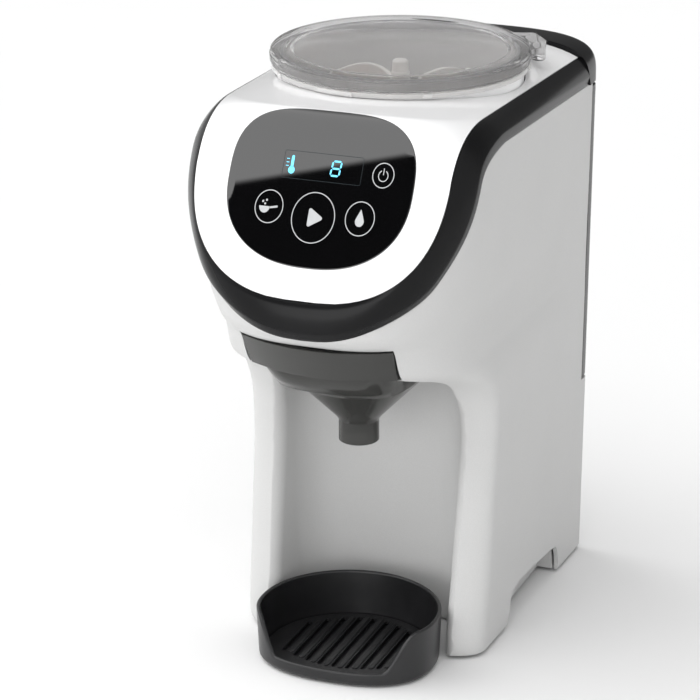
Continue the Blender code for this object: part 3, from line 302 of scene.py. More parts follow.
def box(name, x0, x1, y0, y1, z0, z1, bevel=0.0, seg=3):
    bm = bmesh.new()
    bmesh.ops.create_cube(bm, size=1.0)
    lo, hi = P(x0, y0, z0), P(x1, y1, z1)
    for v in bm.verts:
        v.co = Vector([lo[i] + (hi[i] - lo[i]) * (v.co[i] + 0.5) for i in range(3)])
    if bevel:
        bmesh.ops.bevel(bm, geom=list(bm.edges), offset=bevel * MM, segments=seg, affect="EDGES", profile=0.5)
    return finish(name, bm)


def lathe(name, profile, cx, cy, n=96, start=0.0, r=0.0, seg=3):
    """Revolve a closed (radius, height) outline, its corners rounded by r, about a vertical axis."""
    if r:
        radii = [0.0 if q[0] < 1e-6 else r for q in profile]
        profile = round_poly(profile, radii, seg)
    bm = bmesh.new()
    c = P(cx, cy, 0.0)
    ca, sa = math.cos(start), math.sin(start)
    vs = [bm.verts.new(c + Vector((q[0] * MM * ca, q[0] * MM * sa, q[1] * MM))) for q in profile]
    on_axis = [q[0] < 1e-6 for q in profile]
    es = []
    for i in range(len(vs)):
        j = (i + 1) % len(vs)
        if on_axis[i] and on_axis[j]:
            continue
        es.append(bm.edges.new((vs[i], vs[j])))
    bmesh.ops.spin(bm, geom=vs + es, cent=c, axis=(0, 0, 1), angle=2 * math.pi, steps=n, use_merge=True)
    bmesh.ops.remove_doubles(bm, verts=bm.verts, dist=1e-6)
    return finish(name, bm)


def apply_modifiers(ob):
    bpy.context.view_layer.update()
    dg = bpy.context.evaluated_depsgraph_get()
    me = bpy.data.meshes.new_from_object(ob.evaluated_get(dg))
    ob.modifiers.clear()
    old = ob.data
    ob.data = me
    me.name = ob.name
    bpy.data.meshes.remove(old)
    return ob


def combine(ob, other, op="DIFFERENCE"):
    mod = ob.modifiers.new("cut", "BOOLEAN")
    mod.operation = op
    mod.solver = "EXACT"
    mod.object = other
    apply_modifiers(ob)
    bpy.data.objects.remove(other)
    return ob


def round_edges(ob, width, seg=3, angle=32.0, clamp=True):
    mod = ob.modifiers.new("edge", "BEVEL")
    mod.width = width * MM
    mod.segments = seg
    mod.limit_method = "ANGLE"
    mod.angle_limit = math.radians(angle)
    mod.use_clamp_overlap = clamp
    apply_modifiers(ob)
    smooth(ob, 50.0)
    return ob


def smooth(ob, angle=35.0, weld=2e-6):
    bm = bmesh.new()
    bm.from_mesh(ob.data)
    bmesh.ops.remove_doubles(bm, verts=bm.verts, dist=weld)
    bmesh.ops.dissolve_degenerate(bm, edges=bm.edges, dist=weld)
    bm.to_mesh(ob.data)
    bm.free()
    ob.data.shade_smooth()
    ob.data.set_sharp_from_angle(angle=math.radians(angle))
    return ob


def weighted(ob):
    mod = ob.modifiers.new("normals", "WEIGHTED_NORMAL")
    mod.keep_sharp = True
    mod.weight = 80
    return apply_modifiers(ob)


def join(name, parts):
    """Join finished pieces into one object, each closed on its own."""
    bm = bmesh.new()
    for o in parts:
        bm.from_mesh(o.data)
    me = bpy.data.meshes.new(name)
    bm.to_mesh(me)
    bm.free()
    for o in parts:
        bpy.data.objects.remove(o)
    ob = bpy.data.objects.new(name, me)
    COLL.objects.link(ob)
    me.shade_smooth()
    me.set_sharp_from_angle(angle=math.radians(35))
    return ob


# ------------------------------------------------------------------ materials
def tint(c, f):
    return (min(1.0, c[0] * f), min(1.0, c[1] * f), min(1.0, c[2] * f), 1.0)


def material(name, color, rough=0.45, metal=0.0, vary=0.04, scale=60.0, rough_vary=0.06, grain=0.0, grain_scale=2600.0,
             speck=0.0, wave=0.0, **sockets):
    """Procedural material: soft colour clouding, roughness variation and a fine surface grain."""
    m = bpy.data.materials.new(name)
    m.use_nodes = True
    nt = m.node_tree
    b = nt.nodes["Principled BSDF"]
    b.inputs["Metallic"].default_value = metal
    tc = nt.nodes.new("ShaderNodeTexCoord")
    n1 = nt.nodes.new("ShaderNodeTexNoise")
    n1.inputs["Scale"].default_value = scale
    n1.inputs["Detail"].default_value = 4.0
    nt.links.new(tc.outputs["Object"], n1.inputs["Vector"])
    ramp = nt.nodes.new("ShaderNodeValToRGB")
    ramp.color_ramp.elements[0].position = 0.3
    ramp.color_ramp.elements[1].position = 0.7
    ramp.color_ramp.elements[0].color = tint(color, 1 - vary)
    ramp.color_ramp.elements[1].color = tint(color, 1 + vary)
    nt.links.new(n1.outputs["Fac"], ramp.inputs["Fac"])
    last = ramp.outputs["Color"]
    n2 = nt.nodes.new("ShaderNodeTexNoise")
    n2.inputs["Scale"].default_value = grain_scale
    n2.inputs["Detail"].default_value = 2.0
    nt.links.new(tc.outputs["Object"], n2.inputs["Vector"])
    if speck:
        r2 = nt.nodes.new("ShaderNodeValToRGB")
        r2.color_ramp.elements[0].position = 0.35
        r2.color_ramp.elements[1].position = 0.65
        r2.color_ramp.elements[0].color = (1 - speck, 1 - speck, 1 - speck, 1)
        r2.color_ramp.elements[1].color = (1, 1, 1, 1)
        nt.links.new(n2.outputs["Fac"], r2.inputs["Fac"])
        mix = nt.nodes.new("ShaderNodeMix")
        mix.data_type = "RGBA"
        mix.blend_type = "MULTIPLY"
        mix.inputs[0].default_value = 1.0
        nt.links.new(last, mix.inputs[6])
        nt.links.new(r2.outputs["Color"], mix.inputs[7])
        last = mix.outputs[2]
    nt.links.new(last, b.inputs["Base Color"])
    mr = nt.nodes.new("ShaderNodeMapRange")
    mr.inputs["To Min"].default_value = max(0.0, rough - rough_vary / 2)
    mr.inputs["To Max"].default_value = min(1.0, rough + rough_vary / 2)
    nt.links.new(n1.outputs["Fac"], mr.inputs["Value"])
    nt.links.new(mr.outputs["Result"], b.inputs["Roughness"])
    if grain:
        bump = nt.nodes.new("ShaderNodeBump")
        bump.inputs["Strength"].default_value = grain
        bump.inputs["Distance"].default_value = 0.0002
        nt.links.new(n2.outputs["Fac"], bump.inputs["Height"])
        nt.links.new(bump.outputs["Normal"], b.inputs["Normal"])
    if wave:
        # turned or brushed marks
        w = nt.nodes.new("ShaderNodeTexWave")
        w.inputs["Scale"].default_value = 900.0
        w.inputs["Distortion"].default_value = 2.0
        w.bands_direction = "Z"
        nt.links.new(tc.outputs["Object"], w.inputs["Vector"])
        bump = nt.nodes.new("ShaderNodeBump")
        bump.inputs["Strength"].default_value = wave
        bump.inputs["Distance"].default_value = 0.0001
        nt.links.new(w.outputs["Fac"], bump.inputs["Height"])
        nt.links.new(bump.outputs["Normal"], b.inputs["Normal"])
    for k, v in sockets.items():
        b.inputs[k.replace("_", " ")].default_value = v
    m.diffuse_color = (color[0], color[1], color[2], 1.0)
    return m


WHITE = material("body_white_grained", (0.60, 0.60, 0.596), 0.48, vary=0.012, scale=25, grain=0.25, grain_scale=2300.0, speck=0.05, IOR=1.40)
GLOSS = material("gloss_white", (0.90, 0.90, 0.905), 0.13, vary=0.006, scale=30, rough_vary=0.03, grain=0.015, Coat_Weight=0.6, Coat_Roughness=0.04)
BLACK = material("trim_black", (0.008, 0.008, 0.0085), 0.22, vary=0.15, scale=40, rough_vary=0.05, grain=0.02, IOR=1.24)
PANEL = material("panel_glass", (0.0012, 0.0012, 0.0015), 0.012, vary=0.2, scale=30, rough_vary=0.006, Coat_Weight=1.0, Coat_Roughness=0.0)
SATIN = material("tray_black", (0.011, 0.011, 0.012), 0.33, vary=0.15, scale=60, rough_vary=0.10, grain=0.18, grain_scale=2000.0)
SMOKE = material("smoke_clear", (0.085, 0.085, 0.081), 0.12, vary=0.04, scale=50, rough_vary=0.04, Transmission_Weight=0.50, IOR=1.32)
TANKM = material("smoke_tank", (0.030, 0.030, 0.031), 0.16, vary=0.04, scale=40, rough_vary=0.04, Transmission_Weight=0.16, IOR=1.26)
CLEAR = material("clear_milky", (0.96, 0.955, 0.95), 0.10, vary=0.012, scale=60, rough_vary=0.03, Transmission_Weight=0.50, IOR=1.18)
LIDM = material("clear_lid", (0.93, 0.925, 0.925), 0.04, vary=0.012, scale=60, rough_vary=0.02, Transmission_Weight=0.90, IOR=1.15)


def shade_rim(m, r0, r1, keep):
    """Darken a turned clear piece outside a radius, where its wall is seen edge on."""
    nt = m.node_tree
    b = nt.nodes["Principled BSDF"]
    was = b.inputs["Base Color"].links[0].from_socket
    tc = nt.nodes.new("ShaderNodeTexCoord")
    geo = nt.nodes.new("ShaderNodeVectorMath")
    geo.operation = "SUBTRACT"
    nt.links.new(tc.outputs["Object"], geo.inputs[0])
    geo.inputs[1].default_value = P(0.0, HOP_Y, 0.0)
    flat = nt.nodes.new("ShaderNodeVectorMath")
    flat.operation = "MULTIPLY"
    nt.links.new(geo.outputs["Vector"], flat.inputs[0])
    flat.inputs[1].default_value = (1.0, 1.0, 0.0)
    ln = nt.nodes.new("ShaderNodeVectorMath")
    ln.operation = "LENGTH"
    nt.links.new(flat.outputs["Vector"], ln.inputs[0])
    mr = nt.nodes.new("ShaderNodeMapRange")
    mr.inputs["From Min"].default_value = r0
    mr.inputs["From Max"].default_value = r1
    nt.links.new(ln.outputs["Value"], mr.inputs["Value"])
    mix = nt.nodes.new("ShaderNodeMix")
    mix.data_type = "RGBA"
    mix.blend_type = "MULTIPLY"
    nt.links.new(mr.outputs["Result"], mix.inputs[0])
    nt.links.new(was, mix.inputs[6])
    mix.inputs[7].default_value = (keep, keep, keep, 1.0)
    nt.links.new(mix.outputs[2], b.inputs["Base Color"])


shade_rim(LIDM, 0.0585, 0.0665, 0.62)

SALMON = material("scraper_salmon", (0.86, 0.40, 0.29), 0.42, vary=0.03, scale=80, grain=0.05)
IVORY = material("natural_white", (0.80, 0.79, 0.76), 0.34, vary=0.02, scale=60, grain=0.05)
STEEL = material("steel", (0.60, 0.60, 0.61), 0.28, 1.0, vary=0.05, scale=200, rough_vary=0.12, wave=0.15)
ALU = material("cast_aluminium", (0.62, 0.62, 0.63), 0.42, 1.0, vary=0.05, scale=300, rough_vary=0.15, grain=0.25, grain_scale=1500.0)
BRASS = material("brass", (0.74, 0.56, 0.26), 0.28, 1.0, vary=0.06, scale=150, rough_vary=0.12, wave=0.12)
RUBBER = material("foot_rubber", (0.035, 0.035, 0.036), 0.72, vary=0.12, scale=150, grain=0.25, grain_scale=1800.0)
BOARD = material("circuit_board", (0.015, 0.12, 0.05), 0.38, vary=0.12, scale=120, rough_vary=0.1, grain=0.10)
GREY = material("grey_moulding", (0.30, 0.31, 0.32), 0.48, vary=0.03, scale=60, grain=0.15)
SILICONE = material("silicone_hose", (0.72, 0.73, 0.74), 0.38, vary=0.03, scale=90, Transmission_Weight=0.35, IOR=1.35)
DISPLAY = material("display_dark", (0.004, 0.012, 0.016), 0.15, vary=0.1, scale=90)
PRINT = material("print_grey", (0.50, 0.51, 0.52), 0.35, vary=0.03, scale=400, rough_vary=0.05)
CYAN = material("display_cyan", (0.16, 0.60, 0.80), 0.35, vary=0.03, scale=400, rough_vary=0.05, Emission_Color=(0.10, 0.50, 0.72, 1.0), Emission_Strength=0.85)


def place(ob, mat, body="housing", replaces=()):
    """Give a piece its material and its body, and hide the CAD nodes it replaces."""
    ob.data.materials.clear()
    ob.data.materials.append(mat)
    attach(ob, body)
    if replaces:
        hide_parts(*replaces)
    return ob


# ------------------------------------------------------------------ camera, light and floor
def camera():
    az, th, roll = 0.3676391, 0.3478156, -0.0014
    back = Vector((math.sin(az) * math.cos(th), -math.cos(az) * math.cos(th), math.sin(th)))
    right = Vector((math.cos(az), math.sin(az), 0))
    up = back.cross(right)
    r2 = right * math.cos(roll) + up * math.sin(roll)
    u2 = up * math.cos(roll) - right * math.sin(roll)
    cam = bpy.data.cameras.new("camera")
    ob = bpy.data.objects.new("camera", cam)
    COLL.objects.link(ob)
    m = Matrix((r2, u2, back)).transposed().to_4x4()
    m.translation = Vector((0.5739, -1.5467 - Y_SHIFT * MM, 0.7559))
    ob.matrix_world = m
    cam.sensor_width = 36.0
    cam.lens = 3220.245 / 700 * 36
    cam.clip_end = 30.0
    bpy.context.scene.camera = ob
    return ob


CAM = camera()
GLASS_LINE = ((-48.85, 275.7), (47.9, 298.6))
SKY, PANEL_LIGHT = 0.95, 2.2


def area(name, centre, target, w, h, radiance, spread=180.0, up=Vector((0, 0, 1))):
    """A rectangular lamp of a given surface brightness, facing a target."""
    li = bpy.data.lights.new(name, "AREA")
    li.shape = "RECTANGLE"
    li.size, li.size_y = w, h
    li.energy = radiance * math.pi * w * h
    li.spread = math.radians(spread)
    ob = bpy.data.objects.new(name, li)
    COLL.objects.link(ob)
    z = (Vector(centre) - Vector(target)).normalized()
    x = up.cross(z).normalized()
    y = z.cross(x)
    m = Matrix((x, y, z)).transposed().to_4x4()
    m.translation = Vector(centre)
    ob.matrix_world = m
    ob.visible_camera = False
    return ob


def mirrored(x, z):
    """Direction in which the control glass, at a place of its face, mirrors the studio for the camera."""
    p = P(x, FACE_Y + TAN_LEAN * (z - FACE_Z), z)
    v = (p - CAM.location).normalized()
    return v - FN * (2 * v.dot(FN))


def studio():
    """A pale tent with a bright panel overhead in front; its lower edge shows as a line in the glass."""
    w = bpy.data.worlds.new("studio")
    bpy.context.scene.world = w
    w.use_nodes = True
    nt = w.node_tree
    bg = nt.nodes["Background"]
    tc = nt.nodes.new("ShaderNodeTexCoord")

    def along(direction, lo, hi):
        dot = nt.nodes.new("ShaderNodeVectorMath")
        dot.operation = "DOT_PRODUCT"
        nt.links.new(tc.outputs["Generated"], dot.inputs[0])
        dot.inputs[1].default_value = direction
        mr = nt.nodes.new("ShaderNodeMapRange")
        mr.interpolation_type = "SMOOTHSTEP"
        mr.inputs["From Min"].default_value = lo
        mr.inputs["From Max"].default_value = hi
        nt.links.new(dot.outputs["Value"], mr.inputs["Value"])
        return mr.outputs["Result"]

    def calc(op, a, b):
        m = nt.nodes.new("ShaderNodeMath")
        m.operation = op
        for k, v in enumerate((a, b)):
            if isinstance(v, (int, float)):
                m.inputs[k].default_value = v
            else:
                nt.links.new(v, m.inputs[k])
        return m.outputs[0]
    r1, r2 = mirrored(*GLASS_LINE[0]), mirrored(*GLASS_LINE[1])
    mean = ((r1 + r2) / 2).normalized()
    above = r1.cross(r2).normalized()
    if above.z < 0:
        above = -above
    panel_mid = (mean + above * 0.9).normalized()
    over = along(above, -0.0012, 0.0012)
    panel = calc("MULTIPLY", over, along(panel_mid, math.cos(math.radians(62)), math.cos(math.radians(44))))
    dark = calc("MULTIPLY", calc("SUBTRACT", 1.0, over), along(mean, math.cos(math.radians(27)), math.cos(math.radians(17))))
    level = calc("ADD", SKY, calc("MULTIPLY", panel, PANEL_LIGHT - SKY))
    level = calc("MULTIPLY", level, calc("SUBTRACT", 1.0, calc("MULTIPLY", dark, 0.97)))
    # the tent is darker behind the object and on its right
    behind = along(Vector((0.12, 0.86, 0.50)).normalized(), math.cos(math.radians(66)), math.cos(math.radians(34)))
    beside = along(Vector((0.95, 0.10, 0.25)).normalized(), math.cos(math.radians(80)), math.cos(math.radians(30)))
    level = calc("MULTIPLY", level, calc("SUBTRACT", 1.0, calc("MULTIPLY", behind, 0.78)))
    level = calc("MULTIPLY", level, calc("SUBTRACT", 1.0, calc("MULTIPLY", beside, 0.18)))
    nt.links.new(level, bg.inputs["Strength"])
    bg.inputs["Color"].default_value = (1, 1, 1, 1)
    bpy.context.scene.view_settings.view_transform = "Standard"
    area("fill_low", (-0.15, -1.25, 0.30), (0.0, 0.0, 0.10), 0.8, 0.5, 2.6)
    bm = bmesh.new()
    vs = [bm.verts.new(Vector(q)) for q in ((-6, -6, 0), (6, -6, 0), (6, 6, 0), (-6, 6, 0))]
    bm.faces.new(vs)
    bmesh.ops.subdivide_edges(bm, edges=bm.edges, cuts=6, use_grid_fill=True)
    me = bpy.data.meshes.new("floor")
    bm.to_mesh(me)
    bm.free()
    ob = bpy.data.objects.new("floor", me)
    COLL.objects.link(ob)
    me.materials.append(material("floor_pale", (0.86, 0.86, 0.86), 0.85, vary=0.004, scale=3, rough_vary=0.02))
    ob.location = (0, 0, -0.0004)


studio()


# ------------------------------------------------------------------ outer housing
def outer_levels():
    z = [1.5, 1.65, 2.0, 2.5, 3.1, 5.0, 8.0, 14.0, 22.0, 31.0, 40.0, 53.0, 66.0, 80.0, 93.0, 106.0, 118.0, 124.0, 130.0, 135.0,
         139.0, 143.0, 146.5, 150.0, 153.0, 156.0, 158.5, 161.0, 163.5, 166.0, 168.0, 170.0, 172.0, 174.0, 176.0, 178.0,
         180.5, 183.0, 186.0, 189.0, 192.0, 195.0, 198.0, 201.0, 205.4, 210.0, 215.0, 221.0, 228.0, 236.0, 245.0, 254.0,
         263.0, 272.0, 281.0, 290.0, 300.0]
    return z


def outer_solid():
    rings = []
    for z in outer_levels():
        i = 0.0
        if z < 3.1:
            i = 1.6 - math.sqrt(max(0.0, 1.6**2 - (3.1 - z) ** 2))
        rings.append(body_ring(z, i, 22, ns=9, nc=6))
    return loft("body_shell", rings, tri=True)


def cavity_rings():
    out = []
    for z in (1.5, 4.0, 12.0, 40.0, 118.0, 145.0, 152.0, 158.0, 163.0, 168.0, 172.0, 178.0, 197.0, 205.4, 215.0, 226.0, 252.0, 300.0):
        zz = z if z < 140 else z - 2.0
        ring = body_ring(zz, 2.5, 6)
        zo = z if z > 2 else -5.0
        if z > 290:
            zo = 310.0
        out.append([(x, y, zo) for x, y, _ in ring])
    return out


def bay_half(z):
    return BAY_FOOT_W + (BAY_W - BAY_FOOT_W) * min(1.0, max(0.0, z / 118.0))


def bay_plan(grow):
    rings = []
    n = 14
    for z, e in [(-5.0, 0.0), (118.0, 0.0), (160.0, 0.0), (166.0, 0.8), (170.5, 3.0), (173.6, 7.0), (175.0, 12.0)]:
        w, d = bay_half(z) - e + grow, BAY_BACK - e * 0.6 + grow - BAY_MID_Y
        zz = z + (grow if z > 0 else 0)
        ring = [(w, -200.0, zz)]
        for k in range(2 * n + 1):
            a = math.pi / 2 * k / n
            c, t = math.cos(a), math.sin(a)
            ring.append((w * math.copysign(abs(c) ** (2 / BAY_POWER), c), BAY_MID_Y + d * abs(t) ** (2 / BAY_POWER), zz))
        ring.append((-w, -200.0, zz))
        rings.append(ring)
    return rings


def arch_outline(f, top, n=14):
    """Front view of the bay at one depth: its walls and a ceiling with soft corners, left to right."""
    w = BAY_W * f
    rc = min(19.0, 0.92 * w)
    left = [(-bay_half(z) * f, z) for z in (-6.0, 4.0, 15.0, 30.0, 50.0, 70.0, 90.0, 110.0, 125.0, 138.0, 146.0)]
    c = []
    for k in range(n + 1):
        a = math.pi / 2 * k / n
        c.append((-w + rc - rc * math.cos(a), top - rc + rc * math.sin(a)))
    half = left + c
    xs = -w + rc
    half += [(xs * (1 - k / 4), top) for k in range(1, 4)]
    return half + [(0.0, top)] + [(-x, z) for x, z in reversed(half)]


def bay_cutter():
    """The bay as one tube: a rounded back, and a mouth rolled into the legs."""
    rings = []
    for k in range(21):
        a = math.radians(89.7 - 89.7 * (k / 20) ** 1.0)
        f = abs(math.cos(a)) ** (2 / BAY_POWER)
        y = BAY_MID_Y + (BAY_BACK - BAY_MID_Y) * abs(math.sin(a)) ** (2 / BAY_POWER)
        if y < -17.0:
            break
        rings.append([(x, y, z) for x, z in arch_outline(f, BAY_TOP - 9.0 * max(0.0, (y + 16.0) / 24.0) ** 2)])
    base = arch_outline(1.0, BAY_TOP)
    n = len(base)
    nor = []
    for i in range(n):
        a, b = base[max(i - 1, 0)], base[min(i + 1, n - 1)]
        tx, tz = b[0] - a[0], b[1] - a[1]
        m = math.hypot(tx, tz)
        nor.append((-tz / m, tx / m))

    def roll(z):
        t = min(1.0, max(0.0, (z - 120.0) / 50.0))
        return 8.0 - 4.0 * t * t * (3 - 2 * t)
    steps = 10
    for k in range(steps + 2):
        ring = []
        for (x, z), (nx, nz) in zip(base, nor):
            rr = roll(z)
            ys = front_y(x * 1.05, min(max(z, 2.0), 172.0))
            if k <= steps:
                a = math.pi / 2 * k / steps
                off = rr * (1 - math.cos(a))
                y = ys + rr * (1 - math.sin(a)) - 0.25 * (k == steps)
            else:
                off = rr
                y = -200.0
            y = min(y, -17.5)
            # behind the mouth the walls already follow the rounded back
            t = max(0.0, (y - BAY_MID_Y) / (BAY_BACK - BAY_MID_Y))
            f = (1 - t ** BAY_POWER) ** (1 / BAY_POWER)
            ring.append((x * f + nx * off, y, z + nz * off))
        rings.append(ring)
    return loft("bay_cut", rings, tri=True)


def pocket_outline(front_w, back_w, step_y, back_y):
    return [(front_w, -180.0), (front_w, step_y), (back_w, step_y), (back_w, back_y),
            (-back_w, back_y), (-back_w, step_y), (-front_w, step_y), (-front_w, -180.0)]


def build_housing():
    shell = outer_solid()
    cavity = loft("cavity", cavity_rings(), tri=True)
    combine(cavity, loft("k1", bay_plan(4.4), tri=True))
    combine(cavity, prism("k2", pocket_outline(44.8, 49.8, -88.5, 0.6), 170.3, 200.8))
    combine(cavity, box("k3", -90.0, 90.0, TANK_Y0 - 0.3 - 2.5, 200.0, SHELF_Z - 2.5, 400.0))
    combine(shell, cavity)
    combine(shell, bay_cutter())
    combine(shell, prism("k6", pocket_outline(42.2, 47.3, -86.0, -2.0), 177.7, 198.3))
    combine(shell, box("k7", -37.8, 37.8, -180.0, -4.0, 160.0, 183.0))
    combine(shell, box("k8", -26.0, 26.0, -62.0, -20.0, 190.0, 205.0))
    combine(shell, box("k9", -71.8, 71.8, TANK_Y0 - 0.3, 200.0, SHELF_Z, 400.0))
    combine(shell, prism("k10", rounded_rect(120.6, 200.0, SHELF_Z - 0.01, 400.0, 0.5, 2), -95.0, 95.0, "x"))
    combine(shell, box("k17", -71.8, 71.8, 98.0, 200.0, 283.4, 400.0))
    combine(shell, prism("k11", circle(0, 118.0, 9.0, 48), 100.0, 112.0))
    prof = cut_profile(40, 14, 5)
    outline = [(-260.0, 203.5), (prof[0][0] - 2.0, 203.5)] + prof + [(200.0, prof[-1][1] - 5.0), (200.0, 420.0), (-260.0, 420.0)]
    combine(shell, prism("k12", outline, -120.0, 120.0, "x"))
    arch = round_poly([(4.4, -5.0), (5.6, 6.0), (8.2, 17.6), (13.0, 21.6), (22.0, 23.1), (34.0, 22.8), (62.0, 21.0), (76.0, 19.8), (84.6, 18.4), (88.2, 12.6), (90.0, 5.0), (91.0, -5.0)],
                      [0, 8.0, 5.0, 5.0, 6.0, 20.0, 20.0, 10.0, 3.4, 6.0, 10.0, 0], 5)
    liner = round_poly([(2.2, 1.6), (3.2, 7.0), (6.0, 19.0), (12.0, 24.2), (22.0, 25.6), (34.0, 25.3), (62.4, 23.5), (76.8, 22.3), (86.6, 20.4), (90.6, 13.6), (92.4, 5.6), (93.2, 1.6)],
                       [0, 8.0, 5.0, 5.0, 6.0, 20.0, 20.0, 10.0, 3.4, 6.0, 10.0, 0], 4)
    for q in (-1, 1):
        combine(shell, prism("k13a", liner, min(q * 57.0, q * 68.4), max(q * 57.0, q * 68.4), "x"), "UNION")
        combine(shell, prism("k13", arch, min(q * 59.4, q * 120.0), max(q * 59.4, q * 120.0), "x"))
    heel = [(123.4, -5.0), (123.6, 0.9), (124.6, 1.6), (126.6, 2.2), (129.4, 3.2), (134.0, 5.4), (150.0, 12.0), (150.0, -5.0)]
    combine(shell, prism("k15", heel, -120.0, 120.0, "x"))
    combine(shell, prism("k16", rounded_rect(26.0, 54.0, 24.0, 44.0, 1.2, 4), 120.0, 150.0, "y"))
    # cooling slots low on the back wall
    for k in range(7):
        x = -46.0 + 9.0 * k
        combine(shell, prism("k18", rounded_rect(x - 1.5, x + 1.5, 26.0, 52.0, 1.45, 4), 124.0, 150.0, "y"))
    smooth(shell, 38.0)
    weighted(shell)
    return shell


HOUSING = place(build_housing(), WHITE, "housing", replaces=("outer_housing",))


# ------------------------------------------------------------------ black trim band
edge, mid = fascia_profiles(28, 14, 12)


def edge_points():
    pts = []
    for y, z in edge:
        if z < 284.1 and y < -95:
            w = face_half(z)
        else:
            w = 68.8 + 4.2 * (y + 96.3) / (FASCIA_REAR_Y + 96.3)
        pts.append(Vector((w, y, z)))
    return pts


def resample(pts, fr):
    d = [0.0]
    for a, b in zip(pts[:-1], pts[1:]):
        d.append(d[-1] + (b - a).length)
    out = []
    for f in fr:
        s = f * d[-1]
        k = 0
        while k < len(pts) - 2 and d[k + 1] < s:
            k += 1
        u = (s - d[k]) / max(d[k + 1] - d[k], 1e-9)
        out.append(pts[k].lerp(pts[k + 1], min(max(u, 0), 1)))
    return out


CUT = cut_profile(60, 20, 8)


def trim_curves(n_front=72, n_side=24):
    zs = [FACE_BOTTOM_Z + (FACE_MID_Z - 6 - FACE_BOTTOM_Z) * (k / 90) ** 2 for k in range(91)]
    a_front = [Vector((face_half(z), face_y(z), z)) for z in zs]
    a_front = [Vector((0, face_y(FACE_BOTTOM_Z), FACE_BOTTOM_Z))] + a_front[1:]
    ep = edge_points()
    k0 = next(i for i, q in enumerate(ep) if q.z >= 283.9)
    split_a = next(i for i, q in enumerate(ep) if q.y > -48.5)
    a_front += ep[k0 + 1:split_a + 1]
    a_side = ep[split_a:]
    b_all = [Vector((half_width(y + 1e-6, z) if z > 205.5 else 0.0, y, z)) for y, z in CUT]
    split_b = next(i for i, q in enumerate(b_all) if q.y > -38.5)
    b_front, b_side = b_all[:split_b + 1], b_all[split_b:]
    fr = [k / n_front for k in range(n_front + 1)]
    fs = [k / n_side for k in range(1, n_side + 1)]
    return resample(a_front, fr) + resample(a_side, fs), resample(b_front, fr) + resample(b_side, fs)


A, B = trim_curves()


def soften(pts, n=3):
    """Even out small kinks along an edge, leaving its ends."""
    for _ in range(n):
        pts = [pts[0]] + [(pts[i - 1] + pts[i] * 2 + pts[i + 1]) / 4 for i in range(1, len(pts) - 1)] + [pts[-1]]
    return pts


def profile_tangent(y, z):
    best = min(range(len(CUT) - 1), key=lambda i: (0.5 * (CUT[i][0] + CUT[i + 1][0]) - y) ** 2 + (0.5 * (CUT[i][1] + CUT[i + 1][1]) - z) ** 2)
    lo, hi = max(best - 2, 0), min(best + 3, len(CUT) - 1)
    return Vector((0, CUT[hi][0] - CUT[lo][0], CUT[hi][1] - CUT[lo][1])).normalized()


def trim_frames():
    fr = []
    for i in range(len(A)):
        a, b = A[i], B[i]
        tb = (B[min(i + 1, len(B) - 1)] - B[max(i - 1, 0)]).normalized() if i else Vector((1, 0, 0))
        seat = Vector((1, 0, 0)).cross(profile_tangent(b.y, b.z)).normalized()
        inward = tb.cross(seat).normalized()
        if inward.x > 1e-6 or (i == 0 and inward.z < 0):
            inward = -inward
        up = max(0.0, min(1.0, (a.y + 96.0) / 40.0))
        n_f = (FN * (1 - up) + Vector((0.1, 0, 1)) * up).normalized()
        if seat.dot(n_f) < 0:
            seat = -seat
        ab = b - a
        out = (n_f - ab * (n_f.dot(ab) / ab.dot(ab))).normalized()
        side = -inward
        side = side - ab * (side.dot(ab) / ab.dot(ab))
        if side.length > 1e-3:
            out = (out + side.normalized()).normalized()
        fr.append([n_f, seat, inward, out])
    for c in range(4):
        vals = [f[c] for f in fr]
        vals = soften(vals, 6)
        for f, v in zip(fr, vals):
            f[c] = v.normalized()
    return fr


def trim_piece():
    """A two-facet section: a softly crowned face and a narrow facet down to the housing."""
    A2, B2 = soften(A, 2), soften(B, 2)
    fr = trim_frames()
    sections = []
    for i in range(len(A2)):
        a, b = A2[i], B2[i]
        n_f, seat, inward, out = fr[i]
        b0 = b + seat * 0.30
        ab = b0 - a
        width = ab.length
        # crest: the crown runs from the fascia to a crease near the outer edge
        q = 1 - min(5.0, 0.30 * width) / width
        crest = a.lerp(b0, q) + out * min(2.6, 0.16 * width)
        pts = [a - n_f * 0.5, a - n_f * 0.10 + ab.normalized() * 0.10, a + out * 0.12 + ab.normalized() * 0.5]
        for k in range(1, 9):
            t = k / 9
            h = min(1.3, 0.08 * width) * 4 * t * (1 - t) * 0.75
            pts.append(a.lerp(crest, t) + out * (0.25 * (1 - t) + h))
        pts.append(crest - ab.normalized() * 0.35 + out * 0.06)
        pts.append(crest + ab.normalized() * 0.30 - out * 0.10)
        low = b0 + out * 0.15
        for k in range(1, 4):
            pts.append(crest.lerp(low, 0.15 + 0.80 * k / 4))
        pts.append(low - ab.normalized() * 0.12)
        pts.append(b0 + out * 0.0)
        pts.append(b0 + inward * 2.4)
        pts.append(a - n_f * 2.4)
        sections.append(pts)
    rings = [[(-q.x, q.y, q.z) for q in s] for s in reversed(sections[1:])] + [[(q.x, q.y, q.z) for q in s] for s in sections]
    ob = loft("trim_piece", rings, angle=24.0)
    return ob


place(trim_piece(), BLACK, "housing", replaces=("trim_band",))


# ------------------------------------------------------------------ fascia and glass
EP = edge_points()


def fascia_rows(n_u=56):
    rows = []
    for i in range(len(edge)):
        w = EP[i].x - 0.35
        row = []
        for j in range(n_u + 1):
            u = -1 + 2 * j / n_u
            s = math.sin(u * math.pi / 2)
            f = max(0.0, 1 - i / 12.0)
            uu = s * f + u * (1 - f)
            row.append(fascia_at(i, w * uu, w))
        rows.append(row)
    return rows


